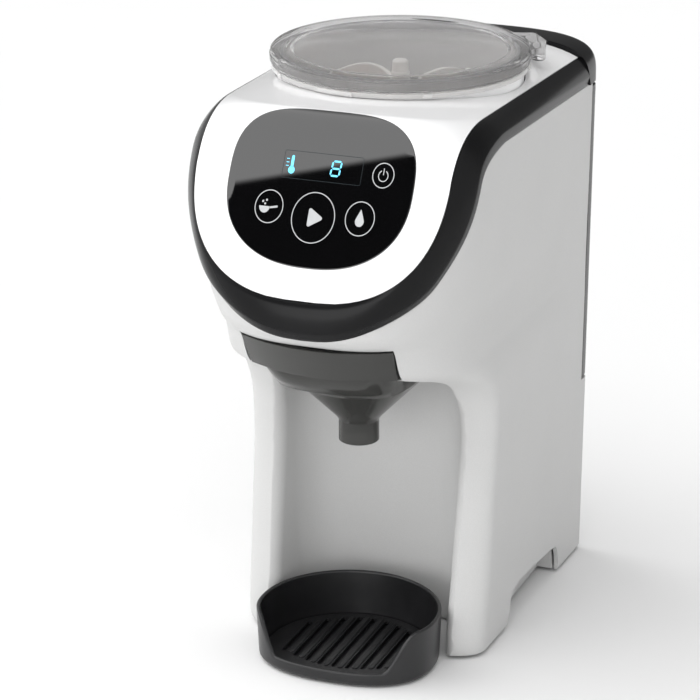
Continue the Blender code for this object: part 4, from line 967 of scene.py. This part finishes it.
def fascia_at(i, x, w=None):
    w = w or EP[i].x
    q = 1 - min(1.0, abs(x / w)) ** 4.5
    return Vector((x, edge[i][0] * (1 - q) + mid[i][0] * q, edge[i][1] * (1 - q) + mid[i][1] * q))


def fascia_piece():
    rows = fascia_rows()
    rows[0] = [q + Vector((0, 0.16, 0.3)) for q in rows[0]]
    m, n = len(rows), len(rows[0])
    bm = bmesh.new()
    nor = [[None] * n for _ in range(m)]
    for i in range(m):
        for j in range(n):
            du = rows[i][min(j + 1, n - 1)] - rows[i][max(j - 1, 0)]
            dv = rows[min(i + 1, m - 1)][j] - rows[max(i - 1, 0)][j]
            nor[i][j] = du.cross(dv).normalized()
    top = [[bm.verts.new(P(*rows[i][j])) for j in range(n)] for i in range(m)]
    low = [[bm.verts.new(P(*(rows[i][j] - nor[i][j] * FASCIA_T))) for j in range(n)] for i in range(m)]
    for i in range(m - 1):
        for j in range(n - 1):
            bm.faces.new((top[i][j], top[i][j + 1], top[i + 1][j + 1], top[i + 1][j]))
            bm.faces.new((low[i][j], low[i + 1][j], low[i + 1][j + 1], low[i][j + 1]))
    for i in range(m - 1):
        bm.faces.new((top[i][0], top[i + 1][0], low[i + 1][0], low[i][0]))
        bm.faces.new((top[i][n - 1], low[i][n - 1], low[i + 1][n - 1], top[i + 1][n - 1]))
    for j in range(n - 1):
        bm.faces.new((top[0][j], low[0][j], low[0][j + 1], top[0][j + 1]))
        bm.faces.new((top[m - 1][j], top[m - 1][j + 1], low[m - 1][j + 1], low[m - 1][j]))
    ob = finish("fascia_piece", bm)
    round_edges(ob, 0.7, 3, 50.0)
    combine(ob, prism("k20", circle(0, HOP_Y, COLLAR_R + 0.35, 128), 285.0, 330.0))
    smooth(ob, 40.0)
    weighted(ob)
    return ob


place(fascia_piece(), GLOSS, "housing", replaces=("top_fascia",))

# profile of the fascia at a given x, measured along the surface from the bottom of the face
COS_LEAN = math.cos(math.radians(FACE_LEAN))


def column(x):
    pts = []
    for i in range(len(edge)):
        if EP[i].x > abs(x) + 2.0:
            pts.append(fascia_at(i, x))
    return pts


COLS = {}


def on_fascia(x, zf, out=0.0):
    """A point of the fascia at x, at face height zf carried on along the surface over the roll."""
    key = round(x, 2)
    if key not in COLS:
        COLS[key] = column(x)
    pts = COLS[key]
    target = (zf - pts[0].z) / COS_LEAN
    s = 0.0
    for a, b in zip(pts[:-1], pts[1:]):
        d = (b - a).length
        if s + d >= target:
            p = a.lerp(b, max(0.0, (target - s) / d))
            t = (b - a).normalized()
            break
        s += d
    else:
        p, t = pts[-1], (pts[-1] - pts[-2]).normalized()
    n = Vector((1, 0, 0)).cross(t).normalized()
    if n.z < 0:
        n = -n
    return p + n * out


GLASS_W, GLASS_MID, GLASS_DN, GLASS_UP = 50.0, 280.0, 38.4, 34.8


def glass_radius(a, grow=0.0):
    c, s = math.cos(a), math.sin(a)
    p = 3.0 if s > 0 else 2.35
    b = (GLASS_UP if s > 0 else GLASS_DN) + grow
    r = (abs(c / (GLASS_W + grow)) ** p + abs(s / b) ** p) ** (-1 / p)
    return r * c, GLASS_MID + r * s


def glass_piece():
    bm = bmesh.new()
    n = 160
    rings = []
    levels = [(0.0, -0.9), (0.0, 0.10), (-0.12, 0.24), (-0.35, 0.34), (-0.8, 0.36)]
    for grow, out in levels:
        rings.append([bm.verts.new(P(*on_fascia(*glass_radius(2 * math.pi * k / n, grow), out))) for k in range(n)])
    for f in (0.93, 0.84, 0.72, 0.58, 0.42, 0.25, 0.10):
        ring = []
        for k in range(n):
            x, z = glass_radius(2 * math.pi * k / n, -0.8)
            ring.append(bm.verts.new(P(*on_fascia(x * f, GLASS_MID + (z - GLASS_MID) * f, 0.36))))
        rings.append(ring)
    for a, b in zip(rings[:-1], rings[1:]):
        for k in range(n):
            bm.faces.new((a[k], a[(k + 1) % n], b[(k + 1) % n], b[k]))
    bm.faces.new(rings[-1])
    bm.faces.new(list(reversed(rings[0])))
    ob = finish("glass_piece", bm, 50.0)
    return ob


place(glass_piece(), PANEL, "housing", replaces=("control_glass",))


def ribbon(name, lines, width, mat, out=0.39, thick=0.05):
    """Printed marks: closed or open lines of even width lying on the glass."""
    bm = bmesh.new()
    for pts, closed in lines:
        n = len(pts)
        quads = []
        for i in range(n):
            a = Vector(pts[i - 1]) if (i or closed) else Vector(pts[0])
            b = Vector(pts[(i + 1) % n]) if (i < n - 1 or closed) else Vector(pts[-1])
            t = (b - a).normalized()
            w = Vector((-t.y, t.x)) * width / 2
            c = Vector(pts[i])
            row = []
            for q, o in ((c + w, out), (c - w, out), (c - w, out - thick), (c + w, out - thick)):
                row.append(bm.verts.new(P(*on_fascia(q.x, q.y, o))))
            quads.append(row)
        for i in range(n if closed else n - 1):
            a, b = quads[i], quads[(i + 1) % n]
            for j in range(4):
                bm.faces.new((a[j], a[(j + 1) % 4], b[(j + 1) % 4], b[j]))
        if not closed:
            bm.faces.new(list(reversed(quads[0])))
            bm.faces.new(quads[-1])
    ob = finish(name, bm, 60.0)
    return place(ob, mat, "housing")


def patch(name, outlines, mat, out=0.40, thick=0.06):
    """Printed solid shapes lying on the glass."""
    bm = bmesh.new()
    for o in outlines:
        top = [bm.verts.new(P(*on_fascia(x, z, out))) for x, z in o]
        bot = [bm.verts.new(P(*on_fascia(x, z, out - thick))) for x, z in o]
        n = len(o)
        bm.faces.new(top)
        bm.faces.new(list(reversed(bot)))
        for k in range(n):
            bm.faces.new((top[k], bot[k], bot[(k + 1) % n], top[(k + 1) % n]))
    ob = finish(name, bm, 60.0)
    return place(ob, mat, "housing")


def ring_pts(cx, cz, r, n=64, a0=0.0, a1=360.0, closed=True):
    k1 = n if closed else n + 1
    return [(cx + r * math.cos(math.radians(a0 + (a1 - a0) * k / n)), cz + r * math.sin(math.radians(a0 + (a1 - a0) * k / n))) for k in range(k1)]


def controls():
    ribbon("mark_circles", [(ring_pts(-25.2, 267.6, 7.5), True), (ring_pts(-0.6, 264.7, 11.5, 80), True), (ring_pts(24.3, 266.6, 7.7), True),
                            (ring_pts(32.8, 287.1, 5.6), True)], 0.42, PRINT)
    # power symbol
    ribbon("mark_power", [(ring_pts(32.8, 286.9, 2.5, 28, 118.0, 422.0, False), False), ([(32.8, 287.3), (32.8, 290.3)], False)], 0.42, PRINT)
    # start: a play triangle; scoop of powder; drop
    tri = round_poly([(-3.4, 259.9), (5.2, 264.7), (-3.4, 269.5)], 0.9, 4)
    patch("mark_play", [tri], PRINT)
    bowl = [(-30.0, 267.9), (-24.8, 267.9)] + [(-27.4 + 2.6 * math.cos(math.radians(a)), 267.9 + 3.0 * math.sin(math.radians(a))) for a in range(350, 189, -20)][0:0]
    bowl = [(-27.6 + 2.9 * math.cos(math.radians(a)), 267.6 + 3.1 * math.sin(math.radians(a))) for a in range(180, 361, 15)]
    handle = [(-24.6, 267.6), (-24.6, 266.7), (-20.6, 267.5), (-20.6, 268.4)]
    patch("mark_scoop", [bowl, handle, circle(-28.8, 269.7, 0.55, 14), circle(-26.9, 270.4, 0.55, 14), circle(-27.5, 268.7, 0.0 + 0.5, 14)], PRINT)
    drop = [(24.3 + 2.35 * math.cos(math.radians(a)), 265.3 + 2.35 * math.sin(math.radians(a))) for a in range(-205, 26, 11)]
    drop = drop + [(25.4, 268.6), (24.3, 270.9), (23.2, 268.6)]
    patch("mark_drop", [drop], PRINT)
    # display window and its lit signs
    ribbon("display_frame", [(rounded_rect(-21.3, 21.3, 281.4, 294.0, 0.8, 4), True)], 0.22, DISPLAY, 0.38, 0.04)
    stem = [(-17.35, 286.4), (-17.35, 291.2)] + ring_pts(-16.6, 291.2, 0.75, 8, 180.0, 0.0, False)[1:-1] + [(-15.85, 291.2), (-15.85, 286.4)]
    bulb = ring_pts(-16.6, 285.2, 1.75, 26)
    patch("sign_thermometer", [stem, bulb], CYAN, 0.42, 0.05)
    ribbon("sign_ticks", [([(-19.9, z), (-18.4, z)], False) for z in (287.0, 288.6, 290.2)], 0.35, CYAN, 0.42, 0.05)
    cx, cz, hw, hh, g = 7.2, 287.8, 2.3, 3.3, 0.28
    s = 0.10

    def slant(pts):
        return [(x + s * (z - cz), z) for x, z in pts]
    segs = []
    t = 0.42
    for z in (cz - hh, cz, cz + hh):
        segs.append(slant([(cx - hw + g, z), (cx - hw + g + t, z + t), (cx + hw - g - t, z + t), (cx + hw - g, z), (cx + hw - g - t, z - t), (cx - hw + g + t, z - t)]))
    for x in (cx - hw, cx + hw):
        for z0 in (cz - hh, cz):
            z1 = z0 + hh
            segs.append(slant([(x, z0 + g), (x + t, z0 + g + t), (x + t, z1 - g - t), (x, z1 - g), (x - t, z1 - g - t), (x - t, z0 + g + t)]))
    patch("sign_digit", segs, CYAN, 0.42, 0.05)


controls()


# ------------------------------------------------------------------ hopper group
def polar(r, deg):
    a = math.radians(deg)
    return r * math.cos(a), HOP_Y + r * math.sin(a)


def sector(r0, r1, a0, a1, n=10):
    return [polar(r1, a0 + (a1 - a0) * k / n) for k in range(n + 1)] + [polar(r0, a1 - (a1 - a0) * k / n) for k in range(n + 1)]


def hopper_piece():
    ob = lathe("hopper_piece", [(9.5, 256.2), (HOP_R, 256.2), (HOP_R, 311.6), (HOP_R + 0.6, 312.6), (HOP_R + 0.6, RING_Z), (68.9, RING_Z), (68.9, 315.9),
                                (66.3, 315.9), (66.3, 316.1), (HOP_R, 316.1), (HOP_R, 319.6), (62.0, 319.6), (62.0, 258.7), (9.5, 258.7)], 0, HOP_Y, 160, r=0.35)
    combine(ob, box("h1", -9.0, 9.0, HOP_Y - 50.0, HOP_Y - 34.0, 250.0, 262.0, 1.0))
    smooth(ob, 35.0)
    return ob


place(hopper_piece(), CLEAR, "hopper_unit", replaces=("hopper",))


def lug(name, a, w, r0, r1, z0, z1):
    """A small bayonet lug or rib standing on the flange."""
    d = math.degrees(w / 2 / r1)
    ob = prism(name, sector(r0, r1, a - d, a + d, 6), z0, z1, bevel=0.22, seg=2)
    return ob


lugs = [lug("lug_a", -100.0, 22.0, 69.0, 69.75, 313.4, 315.7), lug("lug_b", -136.0, 3.0, 69.0, 69.75, 313.0, 315.9), lug("lug_c", -58.0, 5.0, 69.0, 69.75, 313.4, 315.7),
        lug("lug_d", 20.0, 22.0, 69.0, 69.75, 313.4, 315.7), lug("lug_e", 140.0, 22.0, 69.0, 69.75, 313.4, 315.7)]
place(join("hopper_lugs", lugs), CLEAR, "hopper_unit")


def lid_piece():
    prof = [(0.0, 321.4), (57.5, 321.4), (58.6, 320.6), (64.6, 320.6), (64.6, 316.4), (69.2, 316.4), (69.2, 317.6), (LID_R, 317.9), (LID_R, 321.0),
            (69.3, 321.4), (69.3, 323.0), (68.5, LID_TOP), (61.2, LID_TOP), (60.2, 323.0), (58.8, 323.0), (58.0, 323.35), (57.0, 323.0), (0.0, 322.9)]
    ob = lathe("lid_piece", prof, 0, HOP_Y, 160, r=0.3)
    ta = math.radians(38.0)

    def tab(r, s):
        return r * math.cos(ta) - s * math.sin(ta), HOP_Y + r * math.sin(ta) + s * math.cos(ta)
    outline = [tab(66.5, -15.0), tab(72.0, -12.0), tab(80.0, -10.0), tab(80.0, 10.0), tab(72.0, 12.0), tab(66.5, 15.0)]
    t = prism("l1", round_poly(outline, [0, 4.0, 4.5, 4.5, 4.0, 0], 6), 319.2, 322.8, bevel=0.7, seg=3)
    combine(ob, t, "UNION")
    wall = prism("l2", round_poly([tab(72.6, -9.9), tab(79.9, -9.9), tab(79.9, 9.9), tab(72.6, 9.9)], 4.2, 6), 311.8, 321.6, bevel=0.8, seg=3)
    combine(ob, wall, "UNION")
    smooth(ob, 35.0)
    return ob


place(lid_piece(), LIDM, "hopper_cover", replaces=("hopper_lid",))
place(lathe("seal_piece", [(62.2, 319.9), (63.8, 319.9), (63.8, 320.45), (62.2, 320.45)], 0, HOP_Y, 160, r=0.2), SILICONE, "hopper_cover", replaces=("lid_seal",))


def wheel_piece():
    ob = lathe("wheel_piece", [(0.0, 259.2), (61.3, 259.2), (61.3, 265.5), (10.0, 265.5), (8.5, 268.0), (8.5, 284.0), (0.0, 284.0)], 0, HOP_Y, 128, r=0.6)
    for k in range(6):
        a = math.radians(30 + 60 * k)
        combine(ob, prism("w1", circle(42 * math.cos(a), HOP_Y + 42 * math.sin(a), 8.0, 48), 250.0, 270.0))
    combine(ob, box("w2", -6.8, 6.8, HOP_Y - 2.1, HOP_Y + 2.1, 250.0, 266.5))
    smooth(ob, 40.0)
    weighted(ob)
    return ob


place(wheel_piece(), IVORY, "dosing_wheel", replaces=("powder_wheel",))


def scraper_piece():
    """Levelling scraper: a plate over the wheel and an upright blade along the hopper's front wall."""
    plate = prism("scraper_plate", sector(30.0, 60.6, -118.0, -62.0, 24), 266.0, 268.5, bevel=0.5, seg=3)
    rows = []
    n = 36
    for k in range(n + 1):
        a = -124.0 + 70.0 * k / n
        t = (a + 124.0) / 70.0
        top = 300.0 + 14.5 * math.exp(-((t - 0.36) / 0.13) ** 2) + 8.0 * math.exp(-((t - 0.72) / 0.22) ** 2)
        o = [polar(60.9, a), polar(59.3, a)]
        rows.append([(o[0][0], o[0][1], 269.0), (o[0][0], o[0][1], top - 0.5), (o[0][0] * 0.5 + o[1][0] * 0.5, o[0][1] * 0.5 + o[1][1] * 0.5, top),
                     (o[1][0], o[1][1], top - 0.5), (o[1][0], o[1][1], 269.0)])
    blade = loft("scraper_blade", rows)
    return join("scraper_piece", [plate, blade])


place(scraper_piece(), SALMON, "hopper_unit", replaces=("scraper",))


def stirrer_piece():
    """Hub post with three curved vanes whose top edges are beaded."""
    post = lathe("post", [(0.0, 284.3), (7.0, 284.3), (7.0, 298.0), (4.6, 300.5), (4.6, 302.0), (5.1, 303.0), (5.1, 304.4), (4.4, 305.4), (4.4, 313.0), (3.4, 314.5), (0.0, 314.5)],
                 0, HOP_Y, 64, r=0.5)
    parts = [post]
    for k in range(3):
        a0 = math.radians(120 * k + 20)
        sec = []
        n = 36
        for i in range(n + 1):
            t = i / n
            r = 4.0 + 48.0 * t
            a = a0 + 0.75 * t ** 1.3
            th = 0.9 + 0.35 * (1 - t)
            c, s = math.cos(a), math.sin(a)
            da = 0.75 * 1.3 * t ** 0.3 * r / 48.0
            m = math.hypot(1, da)
            nx, ny = (-s - da * c) / m, (c - da * s) / m
            zt = 296.0 + 10.0 * math.sin(math.pi * min(1.0, t * 1.15)) ** 1.2
            x, y = r * c, HOP_Y + r * s
            sec.append([(x - nx * th, y - ny * th, 286.0), (x - nx * th, y - ny * th, zt - 1.6), (x - nx * (th + 0.35), y - ny * (th + 0.35), zt - 1.0),
                        (x - nx * (th + 0.2), y - ny * (th + 0.2), zt - 0.2), (x, y, zt), (x + nx * (th + 0.2), y + ny * (th + 0.2), zt - 0.2),
                        (x + nx * (th + 0.35), y + ny * (th + 0.35), zt - 1.0), (x + nx * th, y + ny * th, zt - 1.6), (x + nx * th, y + ny * th, 286.0)])
        parts.append(loft("vane", sec))
    return join("stirrer_piece", parts)


place(stirrer_piece(), IVORY, "dosing_wheel", replaces=("stirrer",))


# ------------------------------------------------------------------ funnel
def plan_super(w, y0, y1, p, n=96):
    yc, d = (y0 + y1) / 2, (y1 - y0) / 2
    out = []
    for k in range(n):
        a = 2 * math.pi * k / n
        c, s = math.cos(a), math.sin(a)
        out.append((w * math.copysign(abs(c) ** (2 / p), c), yc + d * math.copysign(abs(s) ** (2 / p), s)))
    return out


def funnel_piece():
    sy = SPOUT_Y
    key = [(SPOUT_R, sy - SPOUT_R, sy + SPOUT_R, 2.0, SPOUT_Z), (SPOUT_R, sy - SPOUT_R, sy + SPOUT_R, 2.0, 134.0),
           (SPOUT_R + 1.5, sy - 12.5, sy + 12.5, 2.0, 136.4), (33.5, sy - 34.0, sy + 34.0, 2.1, 158.2),
           (36.0, -88.0, -6.0, 4.0, 163.0), (36.6, -97.0, -5.0, 7.0, 176.0), (36.8, -101.0, -5.0, 7.0, 196.0)]

    def between(a, b, t):
        return tuple(a[i] + (b[i] - a[i]) * t for i in range(5))
    fine = [key[0], between(key[0], key[1], 0.06), between(key[0], key[1], 0.92), key[1], between(key[1], key[2], 0.5), key[2], between(key[2], key[3], 0.08),
            between(key[2], key[3], 0.35), between(key[2], key[3], 0.65), between(key[2], key[3], 0.94), key[3], between(key[3], key[4], 0.4), key[4],
            between(key[4], key[5], 0.4), key[5], between(key[5], key[6], 0.5), key[6]]

    def ring(s, t, dz=0.0):
        return [(x, y, s[4] + dz) for x, y in plan_super(s[0] - t, s[1] + t, s[2] - t, s[3])]
    outer = [ring((key[0][0] - 0.35, key[0][1] + 0.35, key[0][2] - 0.35, 2.0, SPOUT_Z), 0.0)] + [ring(s, 0.0, 0.35 if i == 0 else 0.0) for i, s in enumerate(fine)]
    inner = [ring(s, 1.8, 1.5 if 150 < s[4] < 165 else 0.0) for s in reversed(fine)]
    ob = loft("funnel_piece", outer + inner, close=True)
    band = []
    for z, yc, bulge, w in ((BAND_Z0, -94.2, 11.0, BAND_W - 1.3), (BAND_Z1, -105.0, 12.0, BAND_W)):
        front = [(x, yc - bulge * (1 - (x / w) ** 2), z) for x in [w * (-1 + 2 * k / 40) for k in range(41)]]
        back = [(x, y + 4.5, z) for x, y, _ in reversed(front)]
        band.append(front + back)
    b = loft("f1", band)
    round_edges(b, 0.45, 3, 50.0)
    combine(ob, b, "UNION")
    for s in (-1, 1):
        combine(ob, box("f2", min(s * 35.8, s * 41.4), max(s * 35.8, s * 41.4), -84.0, -8.0, 190.0, 193.0, 0.5, 2), "UNION")
    smooth(ob, 32.0)
    weighted(ob)
    return ob


place(funnel_piece(), SMOKE, "funnel_unit", replaces=("funnel",))


# ------------------------------------------------------------------ drip tray and grate
def tray_outline(t=0.0, n=64):
    """Bowed front and a round back, as points going once round."""
    w, df, db = TRAY_W - t, TRAY_MID_Y - TRAY_FRONT - t, TRAY_BACK - t
    pts = []
    for k in range(n):
        a = math.pi + math.pi * k / n
        c, q = math.cos(a), math.sin(a)
        pts.append((w * math.copysign(abs(c) ** (2 / 2.4), c), TRAY_MID_Y - df * abs(q) ** (2 / 2.4)))
    for k in range(n):
        a = math.pi * k / n
        pts.append((w * math.cos(a), TRAY_MID_Y + db * math.sin(a)))
    return pts


def rim_height(x, y):
    if y > TRAY_MID_Y:
        return 30.0
    t = min(1.0, max(0.0, (abs(x) - 31.5) / 15.5))
    return 8.2 + 21.8 * t * t * (3 - 2 * t)


def tray_piece():
    o = tray_outline()
    rings = []

    leans = {}

    def at(t, lean, k):
        key = (round(t, 3), round(lean, 2))
        if key not in leans:
            leans[key] = tray_outline(key[0] + key[1])
        return leans[key][k]

    def level(t, zf):
        out = []
        for k, (xo, yo) in enumerate(o):
            z = zf(xo, yo)
            x, y = at(t, TRAY_DRAFT * (1 - min(1.0, max(0.0, (z - 2.4) / 27.0))), k)
            out.append((x, y, z))
        return out
    r = 3.2
    for k in range(6):
        a = math.pi / 2 * k / 5
        rings.append(level(r * (1 - math.sin(a)), lambda x, y, a=a: 0.4 + r * (1 - math.cos(a))))
    for f in (0.35, 0.7):
        rings.append(level(0.0, lambda x, y, f=f: 3.6 + (rim_height(x, y) - 1.0 - 3.6) * f))
    q = 1.15
    for k in range(7):
        a = math.pi * k / 6
        rings.append(level(q * (1 - math.cos(a)), lambda x, y, a=a: rim_height(x, y) - q + q * math.sin(a)))
    rings.append(level(2.3, lambda x, y: 4.6 + (rim_height(x, y) - q - 4.6) * 0.5))
    for k in range(4):
        a = math.pi / 2 * k / 3
        rings.append(level(2.3 + 1.6 * (1 - math.cos(a)), lambda x, y, a=a: 4.2 - 1.6 * math.sin(a)))
    ob = loft("tray_piece", rings)
    smooth(ob, 35.0)
    weighted(ob)
    return ob


place(tray_piece(), SATIN, "tray", replaces=("drip_tray",))


def grate_piece():
    ob = prism("grate_piece", tray_outline(4.6, 48), 3.4, 5.0)

    def span(x):
        return -84.0 + 0.010 * x * x, -18.0 - 0.016 * x * x
    for k in range(9):
        x = -32.0 + 8.0 * k
        y0, y1 = span(x)
        combine(ob, prism("g1", rounded_rect(x - 1.5, x + 1.5, y0, y1, 1.45, 5), 0.0, 10.0))
    smooth(ob, 35.0)
    parts = [ob]
    for k in range(8):
        x = -28.0 + 8.0 * k
        y0, y1 = span(abs(x) + 2.0)
        parts.append(prism("g2", rounded_rect(x - 1.5, x + 1.5, y0 - 0.5, y1 + 0.5, 1.4, 5), 4.6, 5.6, bevel=0.35, seg=2))
    return join("grate_piece", parts)


place(grate_piece(), SATIN, "grate", replaces=("drip_grate",))


# ------------------------------------------------------------------ tank and its lid
def tank_outline(z, t=0.0, inner=False):
    h = rear_half(z) - 0.3
    if inner:
        half = [(65.0, TANK_Y0 + 2.4), (69.0, TANK_Y0 + 5.4), (69.0, 125.0), (68.0, 128.2), (65.0, 129.4)]
        rad = [3.0, 2.0, 1.0, 1.5, 1.5]
    else:
        half = [(71.4 - t, TANK_Y0 + t), (71.4 - t, 121.4), (h - t, 121.4), (h - t, 131.8 - t)]
        rad = [4.0, 0.4, 0.5, 4.6]
    pts = half + [(-x, y) for x, y in reversed(half)]
    return [(x, y, z) for x, y in round_poly(pts, rad + rad[::-1], 5)]


def tank_piece():
    rings = [tank_outline(TANK_Z0, 0.9), tank_outline(TANK_Z0 + 0.25, 0.35), tank_outline(TANK_Z0 + 0.9)] + [tank_outline(z) for z in (130, 155, 180, 205, 230, 255, 282.6)]
    rings.append(tank_outline(TANK_Z1, 0.35))
    ob = loft("tank_piece", rings)
    combine(ob, loft("m1", [tank_outline(111.6, inner=True), tank_outline(300.0, inner=True)]))
    combine(ob, prism("m2", circle(0, 118.0, 7.0, 48), 100.0, 115.0))
    for s in (-1, 1):
        combine(ob, box("m3", s * 40 - 4, s * 40 + 4, 127.0, 131.6, 276.0, 290.6, 0.8, 2), "UNION")
    combine(ob, prism("m4", circle(128.9, 287.6, 1.35, 24), -60.0, 60.0, "x"))
    smooth(ob, 32.0)
    weighted(ob)
    return ob


place(tank_piece(), TANKM, "tank", replaces=("water_tank",))
marks = [box("mk", 20.0, 34.0 if k in (0, 3, 6) else 28.0, 131.78, 131.98, 128.0 + 21.0 * k, 128.6 + 21.0 * k) for k in range(7)]
place(join("tank_level_marks", marks), PRINT, "tank")


def lid_ring(y, e, t=0.0, z0=285.6, n=56):
    a = 78.2 - 0.6 * max(0.0, (y - 105.0) / 28.0) - e - t
    h = 312.6 - 285.6 - e * 0.8 - t
    pts = []
    for k in range(n + 1):
        ang = math.pi * k / n
        c, s = math.cos(ang), math.sin(ang)
        pts.append((a * math.copysign(abs(c) ** (2 / 4.2), c), y, 285.6 + h * abs(s) ** (2 / 4.2) if k not in (0, n) else z0))
    return pts


def tank_lid_piece():
    st = [(104.6, 0.6), (104.8, 0.15), (105.4, 0.0), (112.0, 0.05), (118.0, 0.12), (121.5, 0.3)]
    for k in range(1, 13):
        a = math.pi / 2 * k / 12
        st.append((121.5 + 11.3 * math.sin(a), 0.3 + 11.0 * (1 - math.cos(a)) ** 1.15))
    ob = loft("tank_lid_piece", [lid_ring(y, e) for y, e in st])
    combine(ob, loft("n1", [lid_ring(107.0, 0.0, 2.4, 270.0, 28), lid_ring(120.0, 0.2, 2.4, 270.0, 28), lid_ring(125.6, 1.4, 2.4, 270.0, 28), lid_ring(128.4, 4.0, 2.4, 270.0, 28)]))
    notch = [(104.0, 304.0), (104.0, 280.0), (113.2, 280.0), (112.6, 285.8), (105.3, 303.0)]
    combine(ob, prism("n2", notch, 66.0, 90.0, "x"))
    combine(ob, prism("n3", notch, -90.0, -66.0, "x"))
    for s in (-1, 1):
        combine(ob, box("n4", s * 40 - 4.4, s * 40 + 4.4, 120.0, 140.0, 280.0, 292.4))
        combine(ob, box("n5", s * 47 - 2.2, s * 47 + 2.2, 126.6, 131.2, 285.6, 296.0), "UNION")
    combine(ob, prism("n6", circle(128.9, 287.6, 1.35, 24), -49.5, 49.5, "x"))
    smooth(ob, 32.0)
    weighted(ob)
    return ob


place(tank_lid_piece(), BLACK, "tank_cover", replaces=("tank_lid",))


# ------------------------------------------------------------------ small pieces, feet and inner works
BODY_OF = {}
for body, names in frame["record"]["behaviour"]["bodies"].items():
    for nm in names:
        BODY_OF[nm] = body


def refine(node, mat, width=0.4, seg=2, angle=40.0):
    """A finer copy of a plain piece: the same solid with its edges rounded."""
    src = bpy.data.objects[node]
    me = src.data.copy()
    me.transform(src.matrix_world)
    ob = bpy.data.objects.new(node + "_piece", me)
    COLL.objects.link(ob)
    me.shade_smooth()
    me.set_sharp_from_angle(angle=math.radians(35))
    bm = bmesh.new()
    bm.from_mesh(me)
    bmesh.ops.remove_doubles(bm, verts=bm.verts, dist=1e-6)
    bmesh.ops.dissolve_limit(bm, angle_limit=math.radians(1.0), verts=bm.verts, edges=bm.edges)
    bm.to_mesh(me)
    bm.free()
    round_edges(ob, width, seg, angle)
    return place(ob, mat, BODY_OF[node], replaces=(node,))


def foot(nm, x, y):
    ob = lathe("foot_piece_" + nm, [(0.0, 0.0), (4.7, 0.0), (5.2, 0.5), (5.2, 1.2), (0.0, 1.2)], x, y, 64, r=0.25)
    return place(ob, RUBBER, "housing", replaces=("foot_" + nm,))


for nm, fx, fy in (("front_left", -59.5, -28.0), ("front_right", 59.5, -28.0), ("rear_left", -56.0, 104.0), ("rear_right", 56.0, 104.0)):
    foot(nm, fx, fy)


def screw(i, x, y):
    ob = lathe("screw_piece_%d" % i, [(0.0, 0.8), (2.6, 0.8), (3.2, 1.2), (3.2, 1.7), (1.4, 1.7), (1.4, 12.0), (0.0, 12.0)], x, y, 48, r=0.12)
    for q in (0, 1):
        a, b = (0.35, 2.0) if q else (2.0, 0.35)
        combine(ob, box("s1", x - a, x + a, y - b, y + b, 0.0, 1.3))
    smooth(ob, 35.0)
    return place(ob, STEEL, "housing", replaces=("base_screw_%d" % i,))


for i, (sx, sy) in enumerate(((-26.0, 24.0), (26.0, 24.0), (-26.0, 104.0), (26.0, 104.0))):
    screw(i + 1, sx, sy)

refine("power_inlet", SATIN, 0.5, 3)
pins = [box("pin", -1.1 + x, 1.1 + x, 114.5, 127.0, z - 1.6, z + 1.6, 0.5, 3) for x, z in ((36.0, 34.0), (44.0, 34.0))]
place(join("inlet_pins", pins), STEEL, "housing")

for node, mat, w in (("hopper_socket", GLOSS, 0.3), ("base_plate", GREY, 0.4), ("drive_gear", IVORY, 0.15), ("drive_shaft", STEEL, 0.3), ("motor_pinion", BRASS, 0.12),
                     ("wheel_motor", STEEL, 0.6), ("drive_deck", GREY, 0.5), ("shaft_bearing", BRASS, 0.3), ("powder_chute", IVORY, 0.3),
                     ("funnel_rail_left", GREY, 0.3), ("funnel_rail_right", GREY, 0.3), ("funnel_sensor", SATIN, 0.3), ("display_module", DISPLAY, 0.3),
                     ("control_board", BOARD, 0.2), ("tank_valve", IVORY, 0.3), ("valve_plunger", RUBBER, 0.2), ("valve_cage", IVORY, 0.2), ("tank_socket", GREY, 0.3),
                     ("water_pump", GREY, 0.8), ("heater_block", ALU, 0.8), ("water_nozzle", IVORY, 0.3), ("power_board", BOARD, 0.2),
                     ("lid_pin_left", STEEL, 0.15), ("lid_pin_right", STEEL, 0.15)):
    refine(node, mat, w)
for node, mat in (("valve_spring", STEEL), ("hose_tank_pump", SILICONE), ("hose_pump_heater", SILICONE), ("hose_heater_nozzle", SILICONE)):
    me = bpy.data.objects[node].data
    me.materials.clear()
    me.materials.append(mat)
